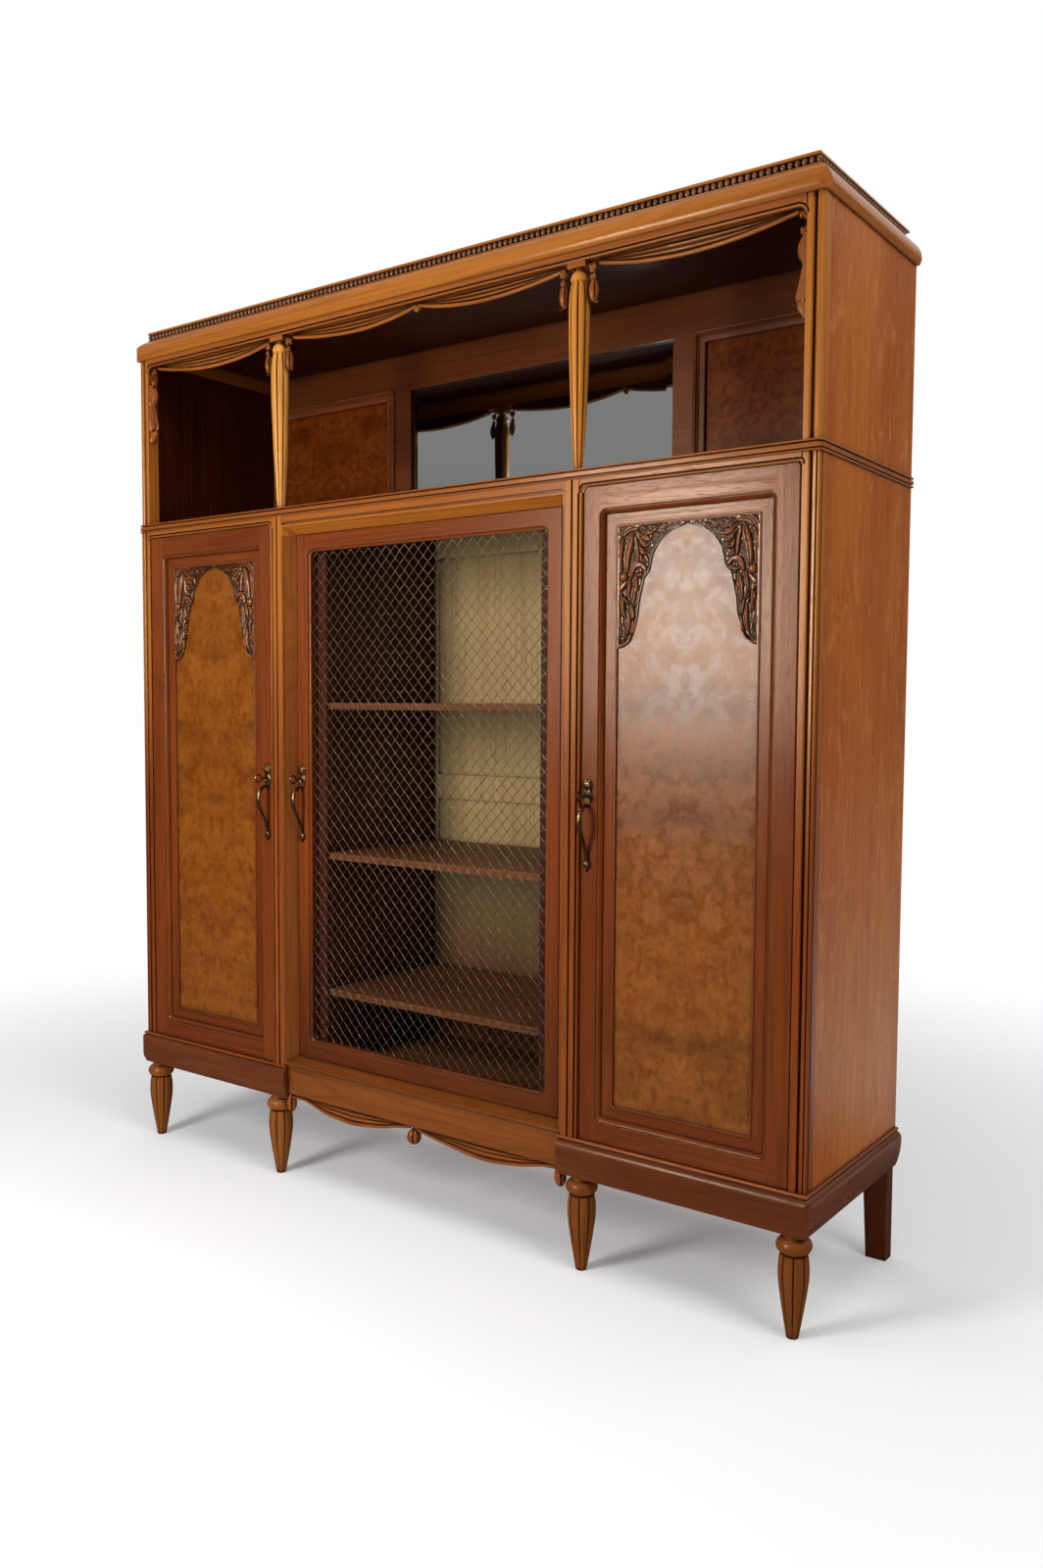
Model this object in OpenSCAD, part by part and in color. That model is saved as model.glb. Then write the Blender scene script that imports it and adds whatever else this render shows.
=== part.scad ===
// Bookcase with two panelled cupboards, a wire-fronted centre bay and an open niche above.
// Millimetres. X runs to the right, Y to the back, Z up. The floor is z = 0.

/* [Carcass] */
// Width over the corner posts
carcass_w = 1800; // [1600:10:2100]
// Depth from the post faces to the back edge
carcass_d = 445; // [380:5:520]
// Height of the lower case, from plinth to waist board
lower_h = 1268; // [1150:2:1400]
// Height of the open niche, from waist board to cornice
upper_h = 403; // [330:1:480]
// Thickness of the side panels
side_t = 20; // [16:1:26]
// Width of a corner post, seen from the front
post_w = 32; // [28:1:40]
// Depth of a corner post
post_d = 30; // [26:1:40]
// Radius of the bead on a post's outer corner
post_bead_r = 2.8; // [2:0.2:3.4]
// Thickness of the back boards' frame
back_t = 12; // [10:1:15]
// Thickness of the back's loose panels
back_panel_t = 5; // [4:0.5:6]
// Thickness of the bottom board
bottom_t = 18; // [15:1:22]

/* [Cornice] */
// Height of the cornice moulding
cornice_h = 49; // [40:1:60]
// How far the cornice stands proud of the posts
cornice_reach = 10; // [6:0.5:14]
// Height of the cornice's fullest point over its underside
cornice_full_z = 12; // [8:1:16]
// How far the cornice's top edge lies behind the posts
cornice_setback = 15; // [12:1:17]
// Thickness of the cornice's walls behind the posts' faces
cornice_wall = 20; // [20:1:28]
// Thickness of the top board
top_t = 15; // [12:1:20]
// Height of the crest rail with its string of beads
crest_h = 23; // [20:1:28]
// Thickness of the crest rail
crest_t = 20; // [18:1:26]
// Diameter of one bead
bead_d = 11; // [9:0.5:12]
// Spacing of the beads
bead_pitch = 13; // [12.5:0.5:18]

/* [Waist] */
// Thickness of the waist board, the floor of the niche
waist_t = 20; // [18:1:26]
// How far the waist board stands proud of the posts
waist_reach = 5; // [4:0.5:8]
// Radius of the two beads along its edge
waist_bead_r = 3; // [2:0.5:4]

/* [Plinth and legs] */
// Height of the plinth moulding's underside over the floor
leg_h = 190; // [150:1:230]
// Height of the plinth moulding
plinth_h = 78; // [66:1:95]
// How far the plinth's bulge stands proud of the posts
plinth_reach = 13; // [8:0.5:18]
// Thickness of the plinth's wall behind the posts' faces
plinth_wall = 22; // [22:1:30]
// Overlap of the plinth past the mullion towards the centre
plinth_return = 6; // [2:1:12]
// Height of a front leg's collar
leg_collar_h = 39; // [30:1:42]
// Diameter of a front leg's collar
leg_collar_d = 64; // [56:1:72]
// Diameter of a front leg's fluted body at its fullest
leg_body_d = 57; // [50:1:62]
// Diameter of a front leg's tip
leg_tip_d = 15.6; // [12:0.2:24]
// Number of lobes round a leg
leg_lobes = 8; // [6:1:12]
// Distance of the outer legs' axes from the posts' outer faces
leg_inset = 27; // [24:1:40]
// Distance of the front legs' axes behind the posts' faces
leg_set = 20; // [18:1:30]
// Width of a rear leg at its top
rear_leg_w = 51; // [42:1:60]
// Width of a rear leg at the floor
rear_leg_tip_w = 41; // [30:1:42]
// Depth of a rear leg
rear_leg_d = 32; // [24:1:40]

/* [Centre bay] */
// Clear width between the two mullions
centre_w = 780; // [700:2:860]
// Width of a mullion
mullion_w = 40; // [36:1:50]
// How far a mullion stands proud of the posts
mullion_proud = 4; // [2:0.5:6]
// How far the centre door's face lies behind the posts' faces
door_recess = 23; // [18:1:30]
// Width of the splayed surround at its sides
surround_w = 23; // [18:1:30]
// Width of the splayed surround along its top
surround_top_w = 21; // [18:1:28]
// Width of the splayed surround along its bottom
surround_bottom_w = 14; // [13:1:22]
// Height of the rail over the surround
centre_head_h = 21; // [18:1:30]
// Thickness of the sill under the surround
sill_t = 6; // [5:1:9]
// Height of the apron board under the sill
apron_h = 67; // [50:1:80]
// Thickness of the apron board
apron_t = 20; // [15:1:25]
// Clear width inside the centre bay, between the partitions
inner_w = 600; // [520:2:660]
// Thickness of the partitions
partition_t = 18; // [15:1:22]
// Thickness of the jamb boards behind the mullions
jamb_t = 16; // [12:1:20]
// Room behind the centre door for its hinge edge to swing
swing_room = 3; // [2.5:0.5:8]

/* [Doors] */
// Thickness of every door frame
door_t = 22; // [20:1:26]
// Gap left round every door
door_gap = 1.5; // [1:0.1:3]
// Height of the rail over a side door
side_head_h = 15; // [14:1:24]
// Corner radius of a side bay's opening at its top
bay_corner_r = 12; // [8:1:16]
// Corner radius of a side bay's opening beside the door's pivot
pivot_corner_r = 5; // [3:0.5:6]
// How far the side doors' faces lie behind the posts' faces
side_door_set = 1.5; // [0:0.5:3]
// Width of a side door's lock stile
lock_stile_w = 32.5; // [30:0.5:44]
// Width of a side door's hinge stile
hinge_stile_w = 42.5; // [36:0.5:55]
// Height of a side door's bottom rail
side_rail_bottom = 38; // [30:1:60]
// Height of a side door's top rail
side_rail_top = 41.5; // [32:0.5:60]
// Width of the sunk moulding round a side door's panel
sunk_w = 12; // [8:1:14]
// Depth that the moulding sinks below the door's face
sunk_depth = 10.6; // [8:0.2:11]
// Outer corner radius of the sunk moulding
sunk_r = 15; // [14:1:24]
// Width of the flat band inside the sunk moulding
band_w = 24; // [16:1:34]
// Width of the fillet round the burl
fillet_w = 3; // [2:0.5:5]
// Depth of the groove that a side door's panel sits in
panel_tongue = 6; // [5:0.5:6]
// Thickness of a door panel
panel_t = 6; // [5:0.5:7]
// Width of the centre door's stiles, edge to moulding
centre_stile_w = 28.5; // [26:0.5:40]
// Height of the centre door's bottom rail, edge to moulding
centre_rail_bottom = 34.5; // [28:0.5:60]
// Height of the centre door's top rail, edge to moulding
centre_rail_top = 29.5; // [26:0.5:60]
// Width of the moulding round the wire
lip_w = 8; // [6:0.5:10]
// Outer corner radius of the moulding round the wire
lip_r = 20; // [12:1:26]
// Length of the tenons on the doors' rails
tenon_l = 18; // [12:1:22]
// Thickness of the tenons
tenon_t = 7; // [5:0.5:8]

/* [Grille] */
// Diameter of a wire
wire_d = 2; // [1.6:0.1:3]
// Width of one diamond of the grille
diamond_w = 72; // [66:1:100]
// Height of one diamond of the grille
diamond_h = 76; // [70:1:110]

/* [Door carving] */
// Height of the arch from its foot to its crown
arch_h = 222; // [180:1:260]
// Distance of the arch's crown below the fillet
arch_drop = 5; // [3:1:12]
// Thickness of the spandrels' ground
carving_t = 3; // [2:0.5:4]
// Thickness of the carved leaves over that ground
leaf_t = 4; // [2:0.5:5]

/* [Door furniture] */
// Height of the keyholes over the floor
keyhole_z = 938; // [850:1:1000]
// Width of a lock plate
plate_w = 27; // [22:1:28]
// Height of a lock plate
plate_h = 55; // [48:1:66]
// Thickness of a lock plate
plate_t = 3; // [2:0.5:4]
// How far a pull bows out from its door
pull_reach = 28; // [22:1:34]
// Length of the leaf at a pull's foot
pull_leaf = 40; // [30:1:50]
// Diameter of a pull's bar
pull_d = 10; // [7:0.5:12]
// Height of a pull's bow
pull_h = 108; // [90:1:130]
// Diameter of a key's shank
shank_d = 5; // [4:0.2:6]
// How far a key stands out from its door
key_stand = 40; // [36:1:52]
// Diameter of the wire of a key's bow
bow_wire_d = 4; // [3:0.2:5]
// Diameter of a key's bow across its middle line
bow_d = 16; // [13:1:20]
// Width of a lock case
lock_w = 26; // [22:1:28]
// Height of a lock case
lock_h = 44; // [36:1:60]
// Thickness of a lock case
lock_t = 11; // [9:0.5:13]
// Height of a lock's bolt over its keyhole
bolt_rise = 13; // [11:0.5:16]
// Height of a lock's bolt
bolt_h = 9; // [6:0.5:12]
// Thickness of a lock's bolt
bolt_t = 5; // [3:0.5:7]
// Travel of a lock's bolt
bolt_throw = 8; // [5:0.5:9]
// Diameter of the door pivots
pivot_d = 5; // [4:0.2:6]
// Distance of a pivot's axis from the door's edge
pivot_edge = 8; // [7.5:0.1:9]
// Distance of a pivot's axis behind the door's face
pivot_set = 6; // [5:0.1:6.4]
// Radius of the easing along a door's hinge edge
door_ease_r = 3; // [2.5:0.1:4]
// Length of a pivot inside the door
pivot_in_door = 25; // [15:1:30]
// Length of a pivot in the carcass
pivot_out = 8; // [6:0.5:9]
// Thickness of a pivot plate
pivot_plate_t = 2; // [1.5:0.5:3]

/* [Niche] */
// Height of the head rail under the cornice
head_h = 15.5; // [12:0.5:24]
// Thickness of the head rail
head_t = 24; // [20:1:30]
// Thickness of the niche's back frame
niche_frame_t = 12; // [11:1:15]
// Distance from the niche frame's face to the back edge
niche_back_space = 20; // [16:1:30]
// Width of the mirror's opening
mirror_w = 756; // [680:2:800]
// Height of the mirror's opening over the niche floor
mirror_h = 348; // [280:1:360]
// Distance from the centre line to a burl panel's opening
niche_panel_x = 434.5; // [420:0.5:460]
// Height of the burl panels' openings over the niche floor
niche_panel_h = 339; // [270:1:350]
// Depth of the ledge that hides the panels' lower edge
niche_rail_h = 4; // [2:1:12]
// Width of the niche frame beside the posts
niche_stile_w = 28; // [20:1:50]
// Corner radius of the burl panels' openings
niche_panel_r = 16; // [12:1:24]
// Thickness of the mirror and the burl panels
niche_panel_t = 5; // [4:0.5:6]

/* [Columns and drapery] */
// Distance of the columns' axes from the centre line
column_x = 408; // [400:1:420]
// Distance of the columns' axes behind the posts' faces
column_set = 14; // [12:1:20]
// Diameter of a column at its fullest
column_d = 42; // [36:1:46]
// Diameter of a column at its foot
column_foot_d = 17; // [14:1:24]
// Diameter of a column under its cap
column_neck_d = 37; // [30:1:40]
// Number of reeds round a column
column_reeds = 8; // [6:1:12]
// Depth of the grooves between the reeds
groove_depth = 3; // [2:0.5:4]
// Depth that the niche's swags hang below the head rail
swag_drop = 30; // [20:1:44]
// Thickness of the niche's swags
swag_t = 12; // [8:1:16]
// Number of folds in a swag
swag_folds = 4; // [3:1:6]
// Length of the tassels beside the columns
tassel_h = 78; // [60:1:90]
// Diameter of the tassels
tassel_d = 28; // [24:1:30]
// Length of the falls of cloth down the outer posts
fall_h = 186; // [150:1:210]
// Diameter of a fall
fall_d = 21; // [18:0.5:23]
// Diameter of the knot between the middle swags
knot_d = 20; // [16:1:24]
// Depth that the apron's swags hang below the apron
apron_swag_drop = 34; // [24:1:44]
// Diameter of the ball under the apron's middle
ball_d = 27; // [20:1:32]
// Length of the drop that carries the ball
ball_drop = 36; // [32:1:44]
// Diameter of the small drops at the apron's ends
drop_d = 14; // [10:1:18]
// Length of the small drops
drop_h = 24; // [18:1:30]

/* [Shelves] */
// Height of the middle of the back's cross rail
back_mid_z = 905; // [800:1:1000]
// Width of the back frame's outer stiles
back_stile = 60; // [40:1:80]
// Height of the back frame's rails
back_rail = 60; // [40:1:80]
// Height of the lowest shelf's top
shelf_1_z = 452; // [400:1:520]
// Height of the middle shelf's top
shelf_2_z = 769; // [700:1:850]
// Height of the highest shelf's top
shelf_3_z = 1113; // [1000:1:1200]
// Thickness of a shelf
shelf_t = 15; // [12:1:20]
// Play left at a shelf's ends
shelf_play = 0.8; // [0.5:0.1:2]
// Diameter of a shelf peg
peg_d = 6; // [5:0.5:8]
// Length of a shelf peg inside the wall
peg_in = 10; // [8:1:12]
// Length of a shelf peg under the shelf
peg_out = 12; // [8:1:16]

/* [Hidden] */
$fn = 48;

// Facets of the shallow arcs, which have long radii
arc_fn = 480;
// Play between pieces that are glued or laid together
fit = 0.1;
// Radial play of a pin in its hole
run_fit = 0.05;
// Overlap that makes a cut run clean through a face
cut = 1;
// Depth of moulded edge that is drawn as one section
edge_core = 34;

// Levels, from the floor up
z_plinth = leg_h;
z_case = z_plinth + plinth_h;
z_waist = z_case + lower_h;
z_niche = z_waist + waist_t;
z_cornice = z_niche + upper_h;
z_crest = z_cornice + cornice_h;
z_top_board = z_crest - top_t;

// The farthest forward point is a key's bow on a side door
front_reach = key_stand - side_door_set;
shift_y = (front_reach - carcass_d) / 2;

half_w = carcass_w / 2;
inside_x = half_w - side_t;
bay_x0 = centre_w / 2 + mullion_w;
bay_x1 = half_w - post_w;
back_y = carcass_d - back_t;
case_front_y = door_recess + door_t + swing_room;
jamb_y1 = case_front_y + jamb_t;
partition_x = inner_w / 2;

// Side doors
side_door_x0 = bay_x0 + door_gap;
side_door_x1 = bay_x1 - door_gap;
side_door_z0 = z_case + door_gap;
side_door_z1 = z_waist - side_head_h - door_gap;
side_open_x0 = side_door_x0 + lock_stile_w;
side_open_x1 = side_door_x1 - hinge_stile_w;
side_open_z0 = side_door_z0 + side_rail_bottom;
side_open_z1 = side_door_z1 - side_rail_top;
side_mid_x = (side_open_x0 + side_open_x1) / 2;
side_mid_z = (side_open_z0 + side_open_z1) / 2;
side_open_w = side_open_x1 - side_open_x0;
side_open_h = side_open_z1 - side_open_z0;
band_y = side_door_set + sunk_depth;
panel_y = band_y + carving_t;
burl_w = side_open_w - 2 * (sunk_w + band_w);
burl_h = side_open_h - 2 * (sunk_w + band_w);
burl_top = side_mid_z + burl_h / 2;

// Centre door
centre_open_w = centre_w - 2 * surround_w;
centre_door_w = centre_open_w - 2 * door_gap;
centre_door_z0 = z_case + sill_t + surround_bottom_w + door_gap;
centre_door_z1 = z_waist - centre_head_h - surround_top_w - door_gap;
wire_w = centre_door_w - 2 * centre_stile_w;
wire_z0 = centre_door_z0 + centre_rail_bottom;
wire_z1 = centre_door_z1 - centre_rail_top;
wire_mid_z = (wire_z0 + wire_z1) / 2;
wire_h = wire_z1 - wire_z0;
wire_y = door_recess + 12;
rebate_w = 6;

// Legs
leg_axes = [-(half_w - leg_inset), -(bay_x0 - 3), bay_x0 - 3, half_w - leg_inset];
leg_dowel_d = 22;
leg_dowel_l = 30;

// Niche
niche_y = carcass_d - niche_back_space;
niche_panel_x1 = inside_x - niche_stile_w;
rail_under_z = z_cornice - head_h;
shelf_tops = [shelf_1_z, shelf_2_z, shelf_3_z];
peg_rows = [0.22, 0.82];

// Radius of an arc that is upright at its widest point and falls in by dx over dz
function arc_r(dx, dz) = (dx * dx + dz * dz) / (2 * dx);

// Ground shapes
module rect(a0, a1, b0, b1) {
    translate([a0, b0]) square([a1 - a0, b1 - b0]);
}
module block(x0, x1, y0, y1, z0, z1) {
    translate([x0, y0, z0]) cube([x1 - x0, y1 - y0, z1 - z0]);
}
// A section in (y, z) carried along X
module run_x(x0, x1) {
    translate([x0, 0, 0]) rotate([90, 0, 90]) linear_extrude(x1 - x0) children();
}
// An outline in (x, z) carried along Y
module run_y(y0, y1) {
    translate([0, y1, 0]) rotate([90, 0, 0]) linear_extrude(y1 - y0) children();
}
// A plan in (x, y) carried along Z
module run_z(z0, z1) {
    translate([0, 0, z0]) linear_extrude(z1 - z0) children();
}
module bore_z(x, y, z0, z1, d) {
    translate([x, y, z0]) cylinder(h = z1 - z0, d = d);
}
module bore_x(x0, x1, y, z, d) {
    translate([x0, y, z]) rotate([0, 90, 0]) cylinder(h = x1 - x0, d = d);
}
module bore_y(x, y0, y1, z, d) {
    translate([x, y0, z]) rotate([-90, 0, 0]) cylinder(h = y1 - y0, d = d);
}
module both_sides() {
    children();
    mirror([1, 0, 0]) children();
}
// Everything is drawn from the carcass's front face and moved so that the middle is y = 0
module at_carcass() {
    translate([0, shift_y, 0]) children();
}
// A rectangle with its two front corners rounded
module eased_plan(w, d, r) {
    rect(-w / 2 + r, w / 2 - r, 0, d);
    rect(-w / 2, w / 2, r, d);
    for (side = [-1, 1]) translate([side * (w / 2 - r), r]) circle(r);
}
// A rectangle with its two top corners rounded
module eased_top(x0, x1, z0, z1, r) {
    rect(x0, x1, z0, z1 - r);
    rect(x0 + r, x1 - r, z0, z1);
    for (x = [x0 + r, x1 - r]) translate([x, z1 - r]) circle(r);
}
// A rectangle with four rounded corners, centred
module round_rect(w, h, r) {
    rect(-w / 2 + r, w / 2 - r, -h / 2, h / 2);
    rect(-w / 2, w / 2, -h / 2 + r, h / 2 - r);
    for (x = [-1, 1], z = [-1, 1]) translate([x * (w / 2 - r), z * (h / 2 - r)]) circle(r);
}
// The small filled corner that rounds an opening: its square corner is at the origin
module corner_fill(r) {
    difference() {
        square(r);
        translate([r, r]) circle(r);
    }
}
// A slab with the same moulded edge on its front and both ends. The edge section is drawn
// in (reach, height), with reach 0 at the posts' faces.
module moulded_slab(z0, h, reach, plan_r) {
    core = edge_core - cut;
    intersection() {
        run_x(-half_w - reach, half_w + reach) {
            translate([0, z0]) mirror([1, 0]) children();
            rect(core, carcass_d, z0, z0 + h);
        }
        run_y(-reach, carcass_d) {
            for (side = [0, 1]) mirror([side, 0]) translate([half_w, z0]) children();
            rect(-half_w + core, half_w - core, z0, z0 + h);
        }
        run_z(z0, z0 + h) translate([0, -reach]) eased_plan(carcass_w + 2 * reach, carcass_d + reach, plan_r);
    }
}
// A moulding carried round a rectangle with rounded corners in the (x, z) plane. Its section
// is drawn in (outward, forward), with outward 0 at the rectangle's outline.
module ring(x, y, z, w, h, r) {
    translate([x, y, z]) rotate([90, 0, 0]) {
        for (i = [0:3]) {
            across = i % 2 == 0 ? w : h;
            along = i % 2 == 0 ? h : w;
            turn = [[1, 1], [-1, 1], [-1, -1], [1, -1]][i];
            rotate([0, 0, 90 * i]) translate([across / 2, 0, 0]) rotate([90, 0, 0])
                linear_extrude(along - 2 * r, center = true) children();
            translate([turn[0] * (w / 2 - r), turn[1] * (h / 2 - r), 0]) rotate([0, 0, 90 * i])
                rotate_extrude(angle = 90) translate([r, 0]) children();
        }
    }
}
// Radius at height z on an upright arc of radius r whose widest point is (rw, zw)
function arc_at(z, zw, rw, r) = rw - r + sqrt(r * r - (z - zw) * (z - zw));
// Half outline of a turned swelling, from (z0, r0) over its widest point to (z1, r1)
module bulge(z0, r0, zw, rw, z1, r1) {
    low = arc_r(rw - r0, zw - z0);
    high = arc_r(rw - r1, z1 - zw);
    low_steps = 7;
    high_steps = 4;
    polygon(concat(
        [[0, z1], [0, z0]],
        [for (i = [0:low_steps - 1]) let (z = z0 + (zw - z0) * i / low_steps) [arc_at(z, zw, rw, low), z]],
        [for (i = [0:high_steps]) let (z = zw + (z1 - zw) * i / high_steps) [arc_at(z, zw, rw, high), z]]
    ));
}
// A turned form cut into lobes: the first child is the outline and the second the groove's floor
module lobed(count, groove_angle) {
    rotate_extrude($fn = 96) children(1);
    for (i = [0:count - 1])
        rotate([0, 0, (i * 360 + 180) / count + groove_angle / 2])
            rotate_extrude(angle = 360 / count - groove_angle, $fn = 96) children(0);
}
// A leaf that lies in the plane: two arcs that meet in two points
module leaf(l, w) {
    r = arc_r(w / 2, l / 2);
    intersection() {
        translate([0, w / 2 - r]) circle(r, $fn = 96);
        translate([0, r - w / 2]) circle(r, $fn = 96);
    }
}

// Carcass
module side() {
    color("sienna") difference() {
        union() {
            block(inside_x, half_w, post_d + fit, carcass_d, z_case, z_waist);
            block(inside_x, half_w, post_d + fit, carcass_d, z_niche, z_cornice);
        }
        peg_holes_at(inside_x, 1);
    }
}
module side_right() { side(); }
module side_left() { mirror([1, 0, 0]) side(); }

// Plan of a corner post: quirked bead on the corner and two narrow grooves on the front
module post_plan() {
    groove_w = 2;
    quirk = 1.2;
    corner = 2 * post_bead_r + quirk;
    difference() {
        rect(bay_x1, half_w, 0, post_d);
        rect(half_w - corner, half_w + cut, -cut, corner);
        rect(bay_x1 + post_w * 0.44, bay_x1 + post_w * 0.44 + groove_w, -cut, groove_w);
    }
    rect(half_w - corner - cut, half_w - post_bead_r, quirk + post_bead_r, corner + cut);
    translate([half_w - post_bead_r, post_bead_r]) circle(post_bead_r);
}
module corner_post() {
    color("peru") {
        run_z(z_case, z_waist) post_plan();
        run_z(z_niche, z_cornice) post_plan();
    }
}
module corner_post_right() { corner_post(); }
module corner_post_left() { mirror([1, 0, 0]) corner_post(); }

// Plan of a mullion: two flat strips with a groove between them and a rounded outer lip
module mullion_plan() {
    x0 = centre_w / 2;
    lip_r = mullion_proud;
    difference() {
        rect(x0, x0 + mullion_w, -mullion_proud, case_front_y);
        rect(x0 + mullion_w * 0.34, x0 + mullion_w * 0.4, -mullion_proud - cut, -mullion_proud + 2);
        rect(x0 + mullion_w * 0.76, x0 + mullion_w * 0.8, -mullion_proud - cut, -mullion_proud + 2);
        rect(x0 + mullion_w - lip_r, x0 + mullion_w + cut, -mullion_proud - cut, 0);
    }
    intersection() {
        translate([x0 + mullion_w - lip_r, 0]) circle(lip_r);
        rect(x0 + mullion_w - lip_r, x0 + mullion_w, -lip_r, 0);
    }
}
module mullion() {
    color("peru") difference() {
        run_z(z_case, z_waist) mullion_plan();
        bolt_mortise(side_door_x0, side_door_set);
    }
}
module mullion_right() { mullion(); }
module mullion_left() { mirror([1, 0, 0]) mullion(); }

module waist_edge() {
    rect(-edge_core, waist_reach - 2, 0, waist_t);
    for (z = [waist_bead_r, waist_t - waist_bead_r])
        translate([waist_reach - waist_bead_r, z]) circle(waist_bead_r);
}
module waist_board() {
    color("sienna") moulded_slab(z_waist, waist_t, waist_reach, post_w / 2) waist_edge();
}

module cornice_edge() {
    rise = cornice_h - cornice_full_z;
    upper_r = arc_r(cornice_reach + cornice_setback, rise);
    lower_r = arc_r(cornice_reach / 2, cornice_full_z);
    intersection() {
        translate([cornice_reach - upper_r, cornice_full_z]) circle(upper_r, $fn = arc_fn);
        rect(cornice_reach - upper_r, cornice_reach, cornice_full_z, cornice_h);
    }
    intersection() {
        translate([cornice_reach - lower_r, cornice_full_z]) circle(lower_r, $fn = 96);
        rect(cornice_reach - lower_r, cornice_reach, 0, cornice_full_z);
    }
    rect(-edge_core, cornice_reach - upper_r + cut, cornice_full_z - cut, cornice_h);
    rect(-edge_core, cornice_reach - lower_r, 0, cornice_full_z);
}
module cornice() {
    color("peru") difference() {
        moulded_slab(z_cornice, cornice_h, cornice_reach, 20) cornice_edge();
        block(-half_w + cornice_wall, half_w - cornice_wall, cornice_wall, carcass_d + cut,
              z_cornice - cut, z_crest + cut);
    }
}
module top_board() {
    x = half_w - cornice_wall - fit;
    color("saddlebrown") block(-x, x, cornice_wall + fit, carcass_d, z_top_board, z_crest);
}

// The crest rail is a channel for the beads under a sloping fillet
crest_back = cornice_setback + crest_t;
channel_floor = (crest_h - bead_d) / 2 - 1.5;
bead_axis = cornice_setback + bead_d / 2 + 0.5;
module crest_edge() {
    lid = channel_floor;
    difference() {
        polygon([[-edge_core, 0], [-cornice_setback, 0], [-cornice_setback - 2, crest_h - lid + 1],
                 [-cornice_setback - 6, crest_h], [-edge_core, crest_h]]);
        rect(-bead_axis - bead_d / 2, 0, channel_floor, crest_h - lid);
    }
}
module crest_rail() {
    color("saddlebrown") difference() {
        moulded_slab(z_crest, crest_h, 0, 2) crest_edge();
        block(-half_w + crest_back, half_w - crest_back, crest_back, carcass_d + cut,
              z_crest - cut, z_crest + crest_h + cut);
    }
}
// A turned string of beads that starts at the origin and runs up Z
module bead_string(count, pitch) {
    rotate_extrude($fn = 32) intersection() {
        union() {
            for (i = [0:count - 1]) translate([0, i * pitch]) circle(d = bead_d, $fn = 32);
            rect(0, bead_d * 0.28, 0, (count - 1) * pitch);
        }
        rect(0, bead_d, -bead_d, count * pitch);
    }
}
module bead_strings() {
    x = half_w - bead_axis;
    z = z_crest + crest_h / 2;
    front_count = floor(2 * x / bead_pitch) + 1;
    front_pitch = 2 * x / (front_count - 1);
    side_count = floor((carcass_d - bead_axis - bead_d) / front_pitch);
    color("saddlebrown") {
        translate([-x, bead_axis, z]) rotate([0, 90, 0]) bead_string(front_count, front_pitch);
        both_sides() translate([x, bead_axis + front_pitch, z]) rotate([-90, 0, 0])
            bead_string(side_count, front_pitch);
    }
}

// Rails that close the tops of the openings
module rail_outline(x0, x1, z0, z1, r0, r1) {
    rect(x0, x1, z0, z1);
    translate([x0, z0]) mirror([0, 1]) corner_fill(r0);
    translate([x1, z0]) mirror([1, 0]) mirror([0, 1]) corner_fill(r1);
}
module head_rail_outline(grow) {
    x = bay_x1 - fit + grow;
    rail_outline(-x, x, rail_under_z - grow, z_cornice, bay_corner_r, bay_corner_r);
}
module head_rail() {
    color("sienna") run_y(0, head_t) head_rail_outline(0);
}
module door_head_rails() {
    z = z_waist - side_head_h;
    color("sienna") {
        both_sides() difference() {
            run_y(0, post_d)
                rail_outline(bay_x0 + fit, bay_x1 - fit, z, z_waist, bay_corner_r, pivot_corner_r);
            pivot_seat(side_door_x1 - pivot_edge, side_door_set + pivot_set, z, 1);
        }
        block(-centre_w / 2 + fit, centre_w / 2 - fit, 0, case_front_y, z_waist - centre_head_h, z_waist);
    }
}

// Section of the splayed surround in (y, inward): a step on its face, then a slope to the door
function splay(w) = [
    [-mullion_proud, 0], [-mullion_proud, w * 0.2], [0, w * 0.26], [door_recess, w],
    [case_front_y, w], [case_front_y, 0]
];
// One mitred member on the side of a rectangle that starts at the origin
module surround_member(l, w, start, end) {
    intersection() {
        run_x(0, l) polygon(splay(w));
        run_y(-mullion_proud - cut, case_front_y + cut)
            polygon([[0, 0], [l, 0], [l - end, w], [start, w]]);
    }
}
surround_z0 = z_case + sill_t;
surround_z1 = z_waist - centre_head_h;
module centre_surround() {
    x = centre_w / 2 - fit;
    w = surround_w - fit;
    h = surround_z1 - surround_z0;
    pivot_x = centre_door_w / 2 - pivot_edge;
    color("sienna") difference() {
        union() {
            translate([-x, 0, surround_z0]) surround_member(2 * x, surround_bottom_w, w, w);
            translate([x, 0, surround_z1]) rotate([0, 180, 0]) surround_member(2 * x, surround_top_w, w, w);
            translate([x, 0, surround_z0]) rotate([0, -90, 0])
                surround_member(h, w, surround_bottom_w, surround_top_w);
            translate([-x, 0, surround_z1]) rotate([0, 90, 0])
                surround_member(h, w, surround_top_w, surround_bottom_w);
        }
        pivot_seat(pivot_x, door_recess + pivot_set, surround_z1 - surround_top_w, 1);
        pivot_seat(pivot_x, door_recess + pivot_set, surround_z0 + surround_bottom_w, -1);
        bolt_mortise(-centre_door_w / 2, door_recess);
    }
}
module centre_sill() {
    x = centre_w / 2 - fit;
    color("peru") run_x(-x, x) {
        rect(sill_t / 2 - 2, case_front_y, z_case, surround_z0);
        translate([sill_t / 2 - 2, z_case + sill_t / 2]) circle(sill_t / 2);
    }
}
apron_y = mullion_proud;
apron_x = centre_w / 2 - plinth_return - fit;
module apron() {
    bead_r = 3;
    color("sienna") run_x(-apron_x, apron_x) {
        rect(apron_y, apron_y + apron_t, z_case - apron_h, z_case);
        translate([apron_y, z_case - bead_r]) circle(bead_r);
    }
}

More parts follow.
